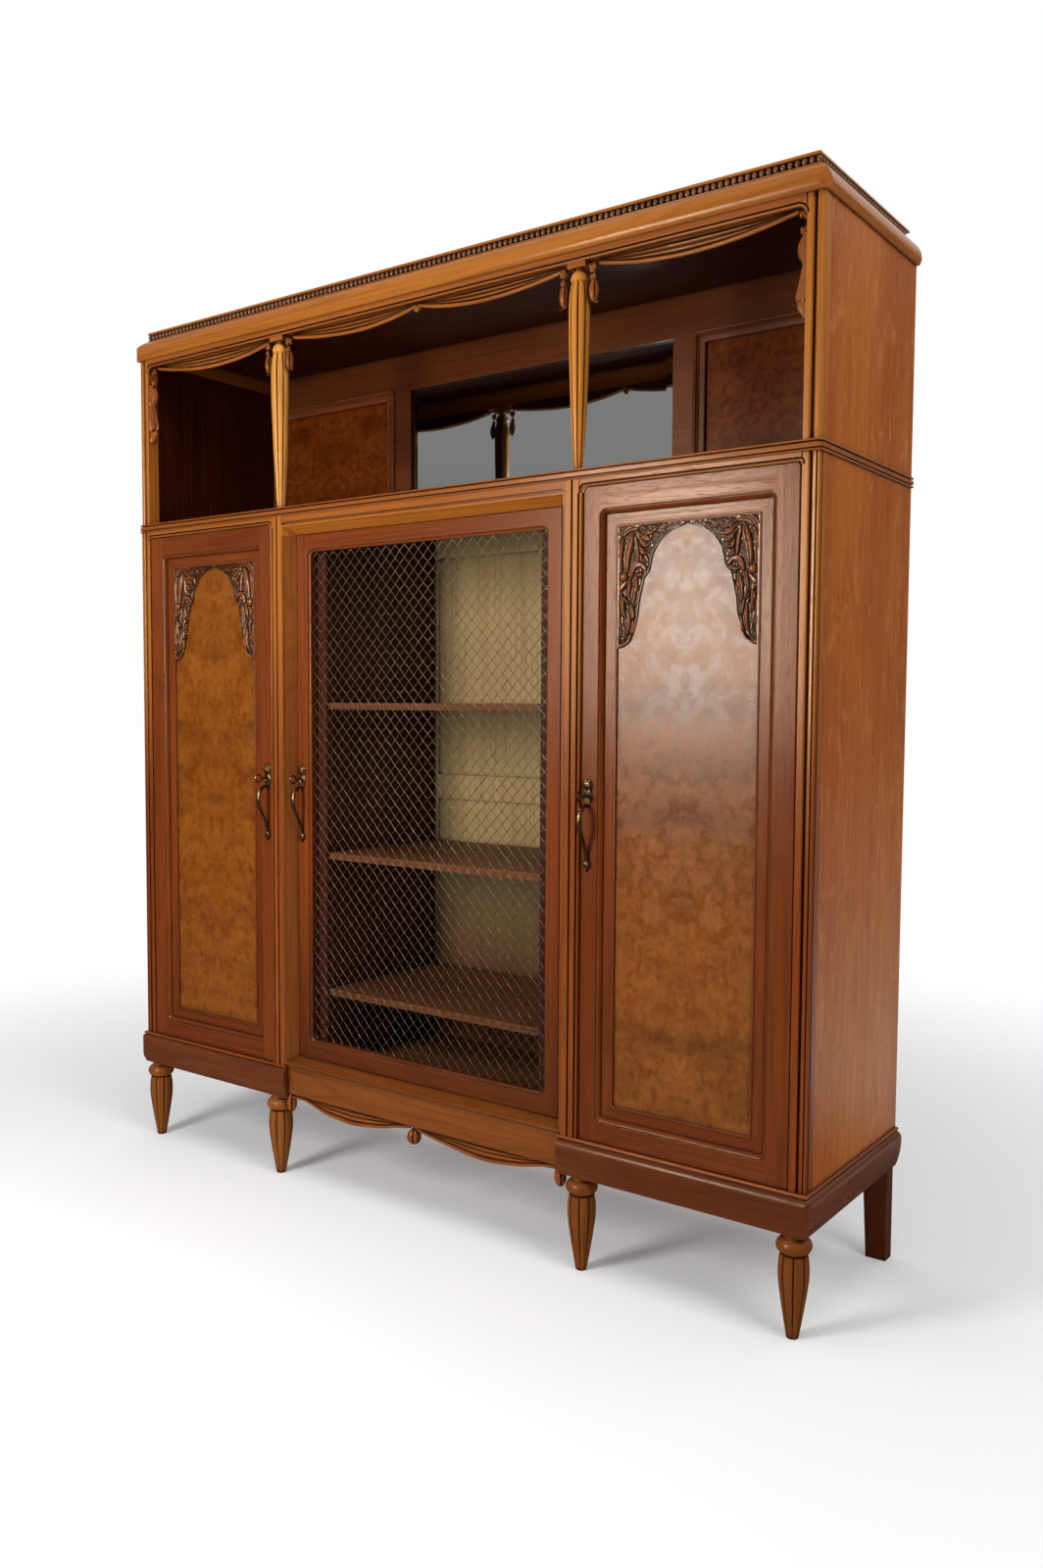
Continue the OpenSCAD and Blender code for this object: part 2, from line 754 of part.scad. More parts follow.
// A swag hung between two points at one level, in the (x, z) plane. Every second fold is cut
// back, and each fold ends nearer the middle than the one below it.
module swag(x0, x1, z, drop, y0, t) {
    mid = (x0 + x1) / 2;
    half = (x1 - x0) / 2;
    fold_back = t * 0.35;
    function fold_half(i) = half * (1 - 0.07 * i);
    function fold_drop(i) = drop * (swag_folds - i) / swag_folds;
    difference() {
        run_y(y0, y0 + t) hanging_segment(mid, half, z, drop);
        for (i = [1:2:swag_folds - 1]) run_y(y0 - cut, y0 + fold_back) difference() {
            hanging_segment(mid, fold_half(i), z + cut, fold_drop(i) + cut);
            if (i < swag_folds - 1)
                hanging_segment(mid, fold_half(i + 1), z + 2 * cut, fold_drop(i + 1) + 2 * cut);
        }
    }
}
module hanging_segment(mid, half, z, drop) {
    r = arc_r(drop, half);
    intersection() {
        translate([mid, z - drop + r]) circle(r, $fn = arc_fn);
        rect(mid - half, mid + half, z - drop, z);
    }
}
// A turned drop that hangs from the origin: a short neck over a ball
module turned_drop(d, neck_d, h) {
    rotate_extrude() {
        rect(0, neck_d / 2, -h + d / 2, 0);
        intersection() {
            translate([0, -h + d / 2]) circle(d = d);
            rect(0, d, -h, 0);
        }
    }
}
module apron_drapery() {
    z = z_case - apron_h - fit;
    end = apron_x - drop_d * 1.15;
    ball_gap = ball_d / 3;
    color("peru") {
        both_sides() {
            swag(ball_gap, end, z, apron_swag_drop, apron_y, apron_t * 0.8);
            translate([end + drop_d * 0.6, apron_y + drop_d * 0.6, z]) turned_drop(drop_d, drop_d * 0.8, drop_h);
        }
        translate([0, apron_y + ball_d * 0.4, z]) turned_drop(ball_d, ball_d * 0.6, ball_drop);
    }
}

// Plinth
module plinth_edge() {
    full_z = plinth_h * 0.72;
    shoulder_z = plinth_h * 0.9;
    bead_r = plinth_h * 0.04;
    foot = 2.5;
    low_r = arc_r(plinth_reach - foot, full_z);
    high_r = arc_r(plinth_reach * 0.6, shoulder_z - full_z);
    intersection() {
        translate([plinth_reach - low_r, full_z]) circle(low_r, $fn = arc_fn);
        rect(-edge_core, plinth_reach, 0, full_z);
    }
    intersection() {
        translate([plinth_reach - high_r, full_z]) circle(high_r, $fn = 96);
        rect(plinth_reach - high_r, plinth_reach, full_z, shoulder_z);
    }
    rect(-edge_core, plinth_reach - high_r, full_z - cut, shoulder_z);
    rect(-edge_core, plinth_reach * 0.25, shoulder_z - cut, plinth_h);
    translate([plinth_reach * 0.5 - bead_r, plinth_h - bead_r]) circle(bead_r);
    rect(-edge_core, plinth_reach * 0.5 - bead_r, plinth_h - 2 * bead_r, plinth_h);
}
module plinth() {
    inner_x = centre_w / 2 - plinth_return;
    block_w = 62;
    block_d = 44;
    color("sienna") difference() {
        union() {
            difference() {
                moulded_slab(z_plinth, plinth_h, plinth_reach, post_w / 2) plinth_edge();
                block(-half_w + plinth_wall, half_w - plinth_wall, plinth_wall, carcass_d + cut,
                      z_plinth - cut, z_case + cut);
                block(-half_w - 2 * plinth_reach, inner_x, -2 * plinth_reach, carcass_d + cut,
                      z_plinth - cut, z_case + cut);
            }
            // Glue blocks that take the legs' dowels
            for (x = [half_w - plinth_wall - block_w, inner_x])
                block(x, x + block_w, plinth_wall - cut, plinth_wall + block_d,
                      z_plinth, z_case - bottom_t - fit);
        }
        for (x = leg_axes)
            bore_z(x, leg_set, z_plinth - cut, z_plinth + leg_dowel_l + 1, leg_dowel_d + 2 * fit);
        pivot_seat(side_door_x1 - pivot_edge, side_door_set + pivot_set, z_case, -1);
    }
}
module plinth_right() { plinth(); }
module plinth_left() { mirror([1, 0, 0]) plinth(); }
module bottom_board() {
    x = half_w - plinth_wall - fit;
    color("burlywood") block(-x, x, plinth_wall + apron_y + fit, back_y - fit, z_case - bottom_t, z_case);
}

// Inner walls
module peg_holes_at(x, side) {
    for (z = shelf_tops, row = peg_rows)
        bore_x(side > 0 ? x - cut : x - peg_in - 1, side > 0 ? x + peg_in + 1 : x + cut,
               carcass_d * row, z - shelf_t - peg_d / 2, peg_d + 2 * run_fit);
}
module partitions() {
    color("saddlebrown") both_sides() difference() {
        block(partition_x, partition_x + partition_t, jamb_y1 + fit, back_y - fit, z_case, z_waist);
        for (z = shelf_tops, row = peg_rows)
            bore_x(partition_x - cut, partition_x + partition_t + cut, carcass_d * row,
                   z - shelf_t - peg_d / 2, peg_d + 2 * run_fit);
    }
}
module jamb_boards() {
    color("saddlebrown") both_sides()
        block(partition_x, bay_x0, case_front_y + fit, jamb_y1, z_case, z_waist);
}

// Back: a framed grid whose panels lie in rebates
back_post = 20;
back_bays = [
    [-inside_x + back_stile, -partition_x - back_stile + back_post],
    [-partition_x + back_post / 2, partition_x - back_post / 2],
    [partition_x + back_stile - back_post, inside_x - back_stile]
];
back_rows = [[z_case + back_rail, back_mid_z - back_rail / 2],
             [back_mid_z + back_rail / 2, z_waist - back_rail]];
back_rebate = 8;
module back_frame() {
    front_t = back_t - back_panel_t - 1;
    foot_x = half_w - plinth_wall - fit;
    color("tan") difference() {
        union() {
            block(-inside_x + fit, inside_x - fit, back_y, carcass_d, z_case, z_waist);
            block(-foot_x, foot_x, back_y, carcass_d, z_case - bottom_t, z_case + cut);
        }
        for (bay = back_bays, row = back_rows) {
            block(bay[0], bay[1], back_y - cut, carcass_d + cut, row[0], row[1]);
            block(bay[0] - back_rebate, bay[1] + back_rebate, back_y + front_t, carcass_d + cut,
                  row[0] - back_rebate, row[1] + back_rebate);
        }
    }
}
module back_panels() {
    front_t = back_t - back_panel_t - 1;
    grow = back_rebate - 0.5;
    color("tan") for (bay = back_bays, row = back_rows)
        block(bay[0] - grow, bay[1] + grow, back_y + front_t, back_y + front_t + back_panel_t,
              row[0] - grow, row[1] + grow);
}

// Shelves on pegs
shelf_front_y = 52;
module shelves() {
    color("saddlebrown") for (z = shelf_tops) {
        block(-partition_x + shelf_play, partition_x - shelf_play, shelf_front_y + 2, back_y - 1,
              z - shelf_t, z);
        both_sides() block(partition_x + partition_t + shelf_play, inside_x - shelf_play,
                           jamb_y1 + 2, back_y - 1, z - shelf_t, z);
    }
}
module shelf_pegs() {
    color("goldenrod") both_sides() for (z = shelf_tops, row = peg_rows) {
        y = carcass_d * row;
        peg_z = z - shelf_t - peg_d / 2;
        bore_x(partition_x - peg_out, partition_x + partition_t + peg_out, y, peg_z, peg_d);
        bore_x(inside_x - peg_out, inside_x + peg_in, y, peg_z, peg_d);
    }
}

// Niche back
module niche_frame() {
    depth = niche_frame_t - niche_panel_t - 0.5;
    top = z_top_board - fit;
    x1 = niche_panel_x1;
    panel_w = x1 - niche_panel_x;
    panel_mid = (x1 + niche_panel_x) / 2;
    color("saddlebrown") difference() {
        block(-inside_x + fit, inside_x - fit, niche_y, niche_y + niche_frame_t, z_niche, top);
        block(-mirror_w / 2, mirror_w / 2, niche_y - cut, carcass_d, z_niche + niche_rail_h,
              z_niche + mirror_h);
        block(-mirror_w / 2 - rebate_w, mirror_w / 2 + rebate_w, niche_y + depth, carcass_d,
              z_niche + niche_rail_h - 2, z_niche + mirror_h + rebate_w);
        both_sides() {
            run_y(niche_y - cut, carcass_d)
                translate([panel_mid, z_niche + niche_rail_h + niche_panel_h / 2])
                    round_rect(panel_w, niche_panel_h, niche_panel_r);
            block(niche_panel_x - rebate_w, x1 + rebate_w, niche_y + depth, carcass_d,
                  z_niche + niche_rail_h - 2, z_niche + niche_rail_h + niche_panel_h + rebate_w);
        }
    }
}
module niche_mirror() {
    depth = niche_frame_t - niche_panel_t - 0.5;
    grow = rebate_w - 0.5;
    color("lightgray") block(-mirror_w / 2 - grow, mirror_w / 2 + grow, niche_y + depth,
                             niche_y + depth + niche_panel_t, z_niche + niche_rail_h - 1.8,
                             z_niche + mirror_h + grow);
}
module niche_panels() {
    depth = niche_frame_t - niche_panel_t - 0.5;
    grow = rebate_w - 0.5;
    color("chocolate") both_sides()
        block(niche_panel_x - grow, niche_panel_x1 + grow, niche_y + depth,
              niche_y + depth + niche_panel_t, z_niche + niche_rail_h - 1.8,
              z_niche + niche_rail_h + niche_panel_h + grow);
}

// Columns
column_h = upper_h - head_h;
column_cap_h = column_h * 0.07;
module column_outline(inset) {
    top = column_h - column_cap_h;
    bulge(0, column_foot_d / 2 - inset, column_h * 0.7, column_d / 2 - inset, top, column_neck_d / 2 - inset);
}
module column_cap() {
    z = column_h - column_cap_h / 2;
    r = column_d / 2 - 1;
    intersection() {
        translate([r - column_cap_h / 2, z]) circle(column_cap_h / 2);
        rect(0, r, column_h - column_cap_h, column_h);
    }
    rect(0, r - column_cap_h / 2, column_h - column_cap_h, column_h);
}
module column() {
    color("goldenrod") translate([column_x, column_set, z_niche]) {
        lobed(column_reeds, 8) {
            column_outline(0);
            column_outline(groove_depth);
        }
        rotate_extrude() column_cap();
    }
}
module column_right() { column(); }
module column_left() { mirror([1, 0, 0]) column(); }

// A carved knot with a bud under it, hung from the origin
module tassel(h, d) {
    knot = d * 0.42;
    rotate_extrude() {
        rect(0, d * 0.2, -h * 0.4, 0);
        intersection() {
            translate([0, -knot]) circle(knot);
            rect(0, d, -h, 0);
        }
        translate([0, -h]) bulge(0, d * 0.16, h * 0.3, d / 2, h * 0.66, d * 0.2);
    }
}
// A fall of cloth down the inner side of a post: knot, bud and flared skirt
module cloth_fall(h, d) {
    knot = d * 0.36;
    rotate_extrude() {
        rect(0, d * 0.2, -h * 0.6, 0);
        intersection() {
            translate([0, -knot]) circle(knot);
            rect(0, d, -h, 0);
        }
        translate([0, -h * 0.52]) bulge(0, d * 0.2, h * 0.2, d * 0.46, h * 0.38, d * 0.2);
        polygon([[0, -h * 0.5], [d * 0.22, -h * 0.5], [d * 0.32, -h * 0.7], [d * 0.5, -h * 0.96],
                 [d * 0.38, -h], [0, -h]]);
    }
}
module niche_drapery() {
    z = rail_under_z - fit;
    y = head_t - swag_t - 4;
    tassel_x = column_d / 2 + tassel_d / 2 + 1;
    color("peru") {
        both_sides() {
            swag(5, column_x - tassel_x, z, swag_drop, y, swag_t);
            swag(column_x + tassel_x, bay_x1 - fall_d, z, swag_drop, y, swag_t);
            for (side = [-1, 1])
                translate([column_x + side * tassel_x, column_set, z]) tassel(tassel_h, tassel_d);
            difference() {
                translate([bay_x1 - fall_d / 2, fall_d / 2 + 2, z]) cloth_fall(fall_h, fall_d);
                block(bay_x1 - fit, bay_x1 + fall_d, -cut, 2 * fall_d, z_niche, z);
                run_y(-cut, 2 * fall_d) head_rail_outline(fit);
            }
        }
        translate([0, y + swag_t / 2, z]) tassel(knot_d * 1.3, knot_d);
    }
}

// Legs
module leg_outline(inset) {
    collar_z = leg_h - leg_collar_h - 3;
    bulge(0, leg_tip_d / 2 - inset * 0.5, leg_h * 0.6, leg_body_d / 2 - inset, collar_z,
          leg_body_d * 0.41 - inset);
}
module front_leg() {
    collar_z = leg_h - 3 - leg_collar_h / 2;
    lobed(leg_lobes, 8) {
        leg_outline(0);
        leg_outline(3);
    }
    rotate_extrude() {
        intersection() {
            translate([(leg_collar_d - leg_collar_h) / 2, collar_z]) circle(leg_collar_h / 2);
            rect(0, leg_collar_d / 2, 0, leg_h);
        }
        rect(0, (leg_collar_d - leg_collar_h) / 2, collar_z - leg_collar_h / 2, leg_h);
    }
    translate([0, 0, leg_h - cut]) cylinder(h = leg_dowel_l + cut, d = leg_dowel_d);
}
module front_legs() {
    color("peru") for (x = leg_axes) translate([x, leg_set, 0]) front_leg();
}
module rear_legs() {
    x1 = half_w - 3;
    x_in = half_w - plinth_wall - fit;
    color("saddlebrown") both_sides() run_y(carcass_d - rear_leg_d, carcass_d)
        polygon([[x1, 0], [x1, leg_h - fit], [x_in, leg_h - fit], [x_in, z_case - bottom_t - fit],
                 [x1 - rear_leg_w, z_case - bottom_t - fit], [x1 - rear_leg_w, leg_h - fit],
                 [x1 - rear_leg_tip_w, 0]]);
}

// Pivots. The seat is a plate's recess with the pin's hole behind it, up or down from z.
pivot_plate_w = 26;
pivot_plate_d = 12;
pivot_margin = 4;
module pivot_box(x, y, z, up, t, grow) {
    z0 = up > 0 ? z : z - t;
    block(x - pivot_plate_w + pivot_margin + 2 - grow, x + pivot_margin + 2 + grow,
          y - pivot_margin - grow, y + pivot_plate_d - pivot_margin + grow, z0, z0 + t);
}
module pivot_seat(x, y, z, up) {
    deep = pivot_out + 1;
    pivot_box(x, y, up > 0 ? z - cut : z + cut, up, pivot_plate_t + cut, fit);
    bore_z(x, y, up > 0 ? z : z - deep, up > 0 ? z + deep : z, pivot_d + 1);
}
module pivot_plate(x, y, z, up) {
    difference() {
        pivot_box(x, y, z, up, pivot_plate_t, 0);
        bore_z(x, y, z - pivot_plate_t - cut, z + pivot_plate_t + cut, pivot_d + 2 * run_fit);
    }
}
module pivot_plates() {
    side_x = side_door_x1 - pivot_edge;
    side_y = side_door_set + pivot_set;
    centre_x = centre_door_w / 2 - pivot_edge;
    centre_y = door_recess + pivot_set;
    color("goldenrod") {
        both_sides() {
            pivot_plate(side_x, side_y, z_waist - side_head_h, 1);
            pivot_plate(side_x, side_y, z_case, -1);
        }
        pivot_plate(centre_x, centre_y, surround_z1 - surround_top_w, 1);
        pivot_plate(centre_x, centre_y, surround_z0 + surround_bottom_w, -1);
    }
}
module pivot_pins(x, y, z0, z1) {
    color("goldenrod") {
        bore_z(x, y, z0 - door_gap - pivot_out, z0 + pivot_in_door, pivot_d);
        bore_z(x, y, z1 - pivot_in_door, z1 + door_gap + pivot_out, pivot_d);
    }
}
module pivot_holes(x, y, z0, z1) {
    bore_z(x, y, z0 - cut, z0 + pivot_in_door + 1, pivot_d + 2 * run_fit);
    bore_z(x, y, z1 - pivot_in_door - 1, z1 + cut, pivot_d + 2 * run_fit);
}

// Locks. They are drawn for a door whose lock edge is at edge_x and faces -X.
lock_depth = 7;
bolt_in = lock_w - 4;
module lock_space(edge_x, face_y, grow) {
    y0 = face_y + lock_depth;
    block(edge_x - cut, edge_x + lock_w + grow, y0 - grow, y0 + lock_t + grow,
          keyhole_z - lock_h / 2 - grow, keyhole_z + lock_h / 2 + grow);
}
module bolt_bar(edge_x, face_y, x0, x1, grow) {
    y0 = face_y + lock_depth + (lock_t - bolt_t) / 2;
    z0 = keyhole_z + bolt_rise - bolt_h / 2;
    block(edge_x + x0, edge_x + x1, y0 - grow, y0 + bolt_t + grow, z0 - grow, z0 + bolt_h + grow);
}
module bolt_mortise(edge_x, face_y) {
    bolt_bar(edge_x, face_y, -bolt_throw - 3, cut, 1);
}
module lock(edge_x, face_y) {
    color("darkgoldenrod") difference() {
        block(edge_x, edge_x + lock_w, face_y + lock_depth, face_y + lock_depth + lock_t,
              keyhole_z - lock_h / 2, keyhole_z + lock_h / 2);
        bolt_bar(edge_x, face_y, -cut, bolt_in + 0.5, fit);
        bore_y(edge_x + lock_w / 2, face_y, face_y + 2 * door_t, keyhole_z, shank_d + 2 * run_fit);
    }
}
module bolt(edge_x, face_y) {
    color("darkgoldenrod") bolt_bar(edge_x, face_y, 0, bolt_in, 0);
}
// The key's shank runs through the stile and the lock, and its ring stands upright
module key(edge_x, face_y) {
    ring_y = face_y - key_stand + (bow_d + bow_wire_d) / 2;
    color("darkgoldenrod") translate([edge_x + lock_w / 2, 0, keyhole_z]) {
        bore_y(0, ring_y + bow_d / 2, face_y + lock_depth + lock_t, 0, shank_d);
        translate([0, ring_y, 0]) rotate([0, 90, 0])
            rotate_extrude() translate([bow_d / 2, 0]) circle(d = bow_wire_d);
        bore_y(0, ring_y + bow_d / 2 + 1, ring_y + bow_d / 2 + 4, 0, shank_d + 3);
    }
}
// Pull and lock plate in one casting, flat behind
module pull(edge_x, face_y) {
    plate_z0 = keyhole_z - plate_h * 0.44;
    bend_r = pull_reach - pull_d / 2;
    bow_top = plate_z0 + 6;
    sweep_h = pull_h - bend_r - 8;
    sweep_r = arc_r(bend_r - pull_d / 2 - 0.5, sweep_h);
    sweep_angle = asin(sweep_h / sweep_r);
    foot_z = bow_top - bend_r - sweep_h;
    color("darkgoldenrod") translate([edge_x + lock_w / 2, face_y, 0]) difference() {
        union() {
            run_y(-plate_t, 0) {
                eased_top(-plate_w / 2, plate_w / 2, plate_z0, plate_z0 + plate_h, plate_w * 0.4);
                translate([0, plate_z0]) circle(plate_w * 0.36);
                translate([0, foot_z - 8]) rotate(90) leaf(pull_leaf, pull_leaf * 0.42);
            }
            translate([0, 0, bow_top - bend_r]) rotate([0, -90, 0])
                rotate_extrude(angle = -90) translate([bend_r, 0]) circle(d = pull_d);
            translate([0, sweep_r - bend_r, bow_top - bend_r]) rotate([0, -90, 0])
                rotate([0, 0, -90 - sweep_angle]) rotate_extrude(angle = sweep_angle)
                    translate([sweep_r, 0]) circle(d = pull_d);
            translate([0, -plate_t, foot_z]) sphere(d = pull_d + 3);
        }
        bore_y(0, -plate_t - cut, cut, keyhole_z, shank_d + 3);
        block(-plate_w, plate_w, 0, pull_d + plate_t, foot_z - pull_d, foot_z + pull_d);
    }
}

// Doors
module tenon(x0, x1, z0, z1, face_y, grow) {
    y = face_y + (door_t - tenon_t) / 2;
    block(x0, x1, y - grow, y + tenon_t + grow, z0 + 6 - grow, z1 - 6 + grow);
}
module side_door_rails_space(grow) {
    tenon(side_open_x0 - tenon_l - grow, side_open_x1 + tenon_l + grow, side_door_z0, side_open_z0,
          side_door_set, grow);
    tenon(side_open_x0 - tenon_l - grow, side_open_x1 + tenon_l + grow, side_open_z1, side_door_z1,
          side_door_set, grow);
}
module panel_groove(grow) {
    deep = panel_tongue + grow;
    block(side_open_x0 - deep, side_open_x1 + deep, panel_y - grow, panel_y + panel_t + grow,
          side_open_z0 - deep, side_open_z1 + deep);
}
module hinge_stile_plan(x0, x1, y0, r) {
    rect(x0, x1 - r, y0, y0 + door_t);
    rect(x0, x1, y0 + r, y0 + door_t);
    translate([x1 - r, y0 + r]) circle(r);
}
module side_door_frame() {
    y0 = side_door_set;
    y1 = side_door_set + door_t;
    color("sienna") {
        difference() {
            intersection() {
                run_z(side_door_z0, side_door_z1) {
                    rect(side_door_x0, side_open_x0, y0, y1);
                    hinge_stile_plan(side_open_x1, side_door_x1, y0, door_ease_r);
                }
                run_y(y0, y1) eased_top(side_door_x0, side_door_x1, side_door_z0, side_door_z1,
                                        bay_corner_r - door_gap);
            }
            side_door_rails_space(fit);
            panel_groove(fit);
            lock_space(side_door_x0, side_door_set, fit);
            bore_y(side_door_x0 + lock_w / 2, y0 - cut, y0 + door_t - 2, keyhole_z, shank_d + 2);
            pivot_holes(side_door_x1 - pivot_edge, side_door_set + pivot_set, side_door_z0, side_door_z1);
        }
        difference() {
            union() {
                run_y(y0, y1) difference() {
                    rect(side_open_x0 + fit, side_open_x1 - fit, side_door_z0, side_door_z1);
                    translate([side_mid_x, side_mid_z]) round_rect(side_open_w, side_open_h, sunk_r);
                }
                side_door_rails_space(0);
            }
            panel_groove(fit);
            block(side_open_x0 - 2 * tenon_l, side_open_x1 + 2 * tenon_l, y0 - cut, y1 + cut,
                  side_open_z0 + sunk_r, side_open_z1 - sunk_r);
        }
    }
}
// Section of the sunk moulding: a bead on the outer edge and a hollow down to the band
module sunk_section() {
    bead_r = 2;
    floor_t = 3;
    difference() {
        rect(-sunk_w, 0, -sunk_depth - floor_t, 0);
        translate([-sunk_w, 0]) circle(sunk_w - 2 * bead_r);
        rect(-sunk_w - cut, -sunk_w + sunk_w - 2 * bead_r, -cut, cut);
    }
}
arch_outline = [
    [0, 0], [0.23, 0.045], [0.37, 0.11], [0.48, 0.216], [0.53, 0.35], [0.55, 0.375], [0.61, 0.415],
    [0.655, 0.54], [0.69, 0.68], [0.72, 0.8], [0.77, 0.9], [0.85, 0.97], [1, 1]
];
module spandrel_outline() {
    crown = burl_top - arch_drop;
    side = burl_w / 2 - 0.5;
    polygon(concat(
        [for (p = arch_outline) [max(2, p[0] * side), crown - p[1] * arch_h]],
        [[side, burl_top - 0.5], [2, burl_top - 0.5]]
    ));
}
leaf_set = [
    [0.80, 0.10, 150, 0.34, 0.12], [0.90, 0.22, 70, 0.32, 0.12], [0.62, 0.07, 175, 0.34, 0.1],
    [0.86, 0.38, 110, 0.3, 0.11], [0.74, 0.27, 60, 0.3, 0.12], [0.90, 0.55, 80, 0.3, 0.1],
    [0.80, 0.52, 105, 0.26, 0.1], [0.88, 0.72, 95, 0.26, 0.1], [0.82, 0.8, 115, 0.24, 0.09],
    [0.92, 0.88, 80, 0.22, 0.08], [0.4, 0.03, 170, 0.24, 0.06]
];
module spandrel() {
    crown = burl_top - arch_drop;
    side = burl_w / 2 - 0.5;
    run_y(panel_y - carving_t, panel_y) spandrel_outline();
    run_y(panel_y - carving_t - leaf_t, panel_y - carving_t) intersection() {
        spandrel_outline();
        union() for (p = leaf_set)
            translate([p[0] * side, crown - p[1] * arch_h]) rotate(p[2])
                leaf(p[3] * arch_h, p[4] * arch_h);
    }
}
module side_door_moulding() {
    color("saddlebrown") {
        ring(side_mid_x, side_door_set, side_mid_z, side_open_w - 2 * fit, side_open_h - 2 * fit, sunk_r)
            sunk_section();
        run_y(band_y, panel_y) difference() {
            translate([side_mid_x, side_mid_z])
                round_rect(side_open_w - 2 * sunk_w + cut, side_open_h - 2 * sunk_w + cut, sunk_r - sunk_w + 1);
            translate([side_mid_x, side_mid_z]) square([burl_w, burl_h], center = true);
        }
        run_y(band_y - 1.5, band_y + cut) difference() {
            translate([side_mid_x, side_mid_z])
                square([burl_w + 2 * fillet_w, burl_h + 2 * fillet_w], center = true);
            translate([side_mid_x, side_mid_z]) square([burl_w, burl_h], center = true);
        }
        translate([side_mid_x, 0, 0]) both_sides() spandrel();
    }
}
module side_door_panel() {
    grow = panel_tongue - 1;
    color("goldenrod") block(side_open_x0 - grow, side_open_x1 + grow, panel_y + fit / 2,
                             panel_y + panel_t, side_open_z0 - grow, side_open_z1 + grow);
}

module centre_rails_space(grow) {
    x = wire_w / 2 + tenon_l + grow;
    tenon(-x, x, centre_door_z0, wire_z0, door_recess, grow);
    tenon(-x, x, wire_z1, centre_door_z1, door_recess, grow);
}
module door_centre_frame() {
    y0 = door_recess;
    y1 = door_recess + door_t;
    half = centre_door_w / 2;
    color("sienna") {
        difference() {
            run_z(centre_door_z0, centre_door_z1) {
                rect(-half, -wire_w / 2, y0, y1);
                hinge_stile_plan(wire_w / 2, half, y0, door_ease_r);
            }
            centre_rails_space(fit);
            lock_space(-half, door_recess, fit);
            bore_y(-half + lock_w / 2, y0 - cut, y0 + door_t - 2, keyhole_z, shank_d + 2);
            pivot_holes(half - pivot_edge, door_recess + pivot_set, centre_door_z0, centre_door_z1);
        }
        difference() {
            union() {
                run_y(y0, y1) difference() {
                    rect(-wire_w / 2 + fit, wire_w / 2 - fit, centre_door_z0, centre_door_z1);
                    translate([0, wire_mid_z]) round_rect(wire_w, wire_h, lip_r);
                }
                centre_rails_space(0);
            }
            block(-half, half, y0 - cut, y1 + cut, wire_z0 + lip_r, wire_z1 - lip_r);
        }
    }
}
module lip_section() {
    hollow = lip_w * 0.7;
    difference() {
        rect(-lip_w, 0, -(wire_y - door_recess), 0);
        translate([-lip_w, 0]) circle(hollow);
    }
}
module door_centre_lip() {
    y1 = door_recess + door_t;
    bead_y = wire_y + 2 * wire_d + 3 * fit;
    color("saddlebrown") {
        ring(0, door_recess, wire_mid_z, wire_w - 2 * fit, wire_h - 2 * fit, lip_r) lip_section();
        run_y(bead_y, y1) difference() {
            translate([0, wire_mid_z]) round_rect(wire_w - 2 * fit, wire_h - 2 * fit, lip_r - fit);
            translate([0, wire_mid_z]) round_rect(wire_w - 2 * lip_w, wire_h - 2 * lip_w, lip_r - lip_w);
        }
    }
}
// Straight wires in two layers that cross in diamonds, cut to the rebate
module wire_layer(direction, y) {
    w = wire_w - 2 * fit - 1;
    h = wire_h - 2 * fit - 1;
    slant = atan2(diamond_h, diamond_w);
    count = ceil((w / diamond_w + h / diamond_h) / 2);
    reach = (w + h);
    intersection() {
        for (i = [-count:count]) translate([0, y, wire_mid_z + i * diamond_h])
            rotate([0, -direction * slant, 0]) rotate([0, 90, 0])
                cylinder(h = reach, d = wire_d, center = true, $fn = 16);
        run_y(y - wire_d, y + wire_d) translate([0, wire_mid_z]) round_rect(w, h, lip_r);
    }
}
module door_centre_grille() {
    color("darkkhaki") {
        wire_layer(1, wire_y + wire_d / 2 + fit);
        wire_layer(-1, wire_y + wire_d * 1.5 + 2 * fit);
    }
}

module door_right_frame() { side_door_frame(); }
module door_right_moulding() { side_door_moulding(); }
module door_right_panel() { side_door_panel(); }
module door_right_pull() { pull(side_door_x0, side_door_set); }
module door_right_lock() { lock(side_door_x0, side_door_set); }
module door_right_pivots() {
    pivot_pins(side_door_x1 - pivot_edge, side_door_set + pivot_set, side_door_z0, side_door_z1);
}
module door_right_key() { key(side_door_x0, side_door_set); }
module door_right_bolt() { bolt(side_door_x0, side_door_set); }
module door_left_frame() { mirror([1, 0, 0]) door_right_frame(); }
module door_left_moulding() { mirror([1, 0, 0]) door_right_moulding(); }
module door_left_panel() { mirror([1, 0, 0]) door_right_panel(); }
module door_left_pull() { mirror([1, 0, 0]) door_right_pull(); }
module door_left_lock() { mirror([1, 0, 0]) door_right_lock(); }
module door_left_pivots() { mirror([1, 0, 0]) door_right_pivots(); }
module door_left_key() { mirror([1, 0, 0]) door_right_key(); }
module door_left_bolt() { mirror([1, 0, 0]) door_right_bolt(); }
module door_centre_pull() { pull(-centre_door_w / 2, door_recess); }
module door_centre_lock() { lock(-centre_door_w / 2, door_recess); }
module door_centre_pivots() {
    pivot_pins(centre_door_w / 2 - pivot_edge, door_recess + pivot_set, centre_door_z0, centre_door_z1);
}
module door_centre_key() { key(-centre_door_w / 2, door_recess); }
module door_centre_bolt() { bolt(-centre_door_w / 2, door_recess); }

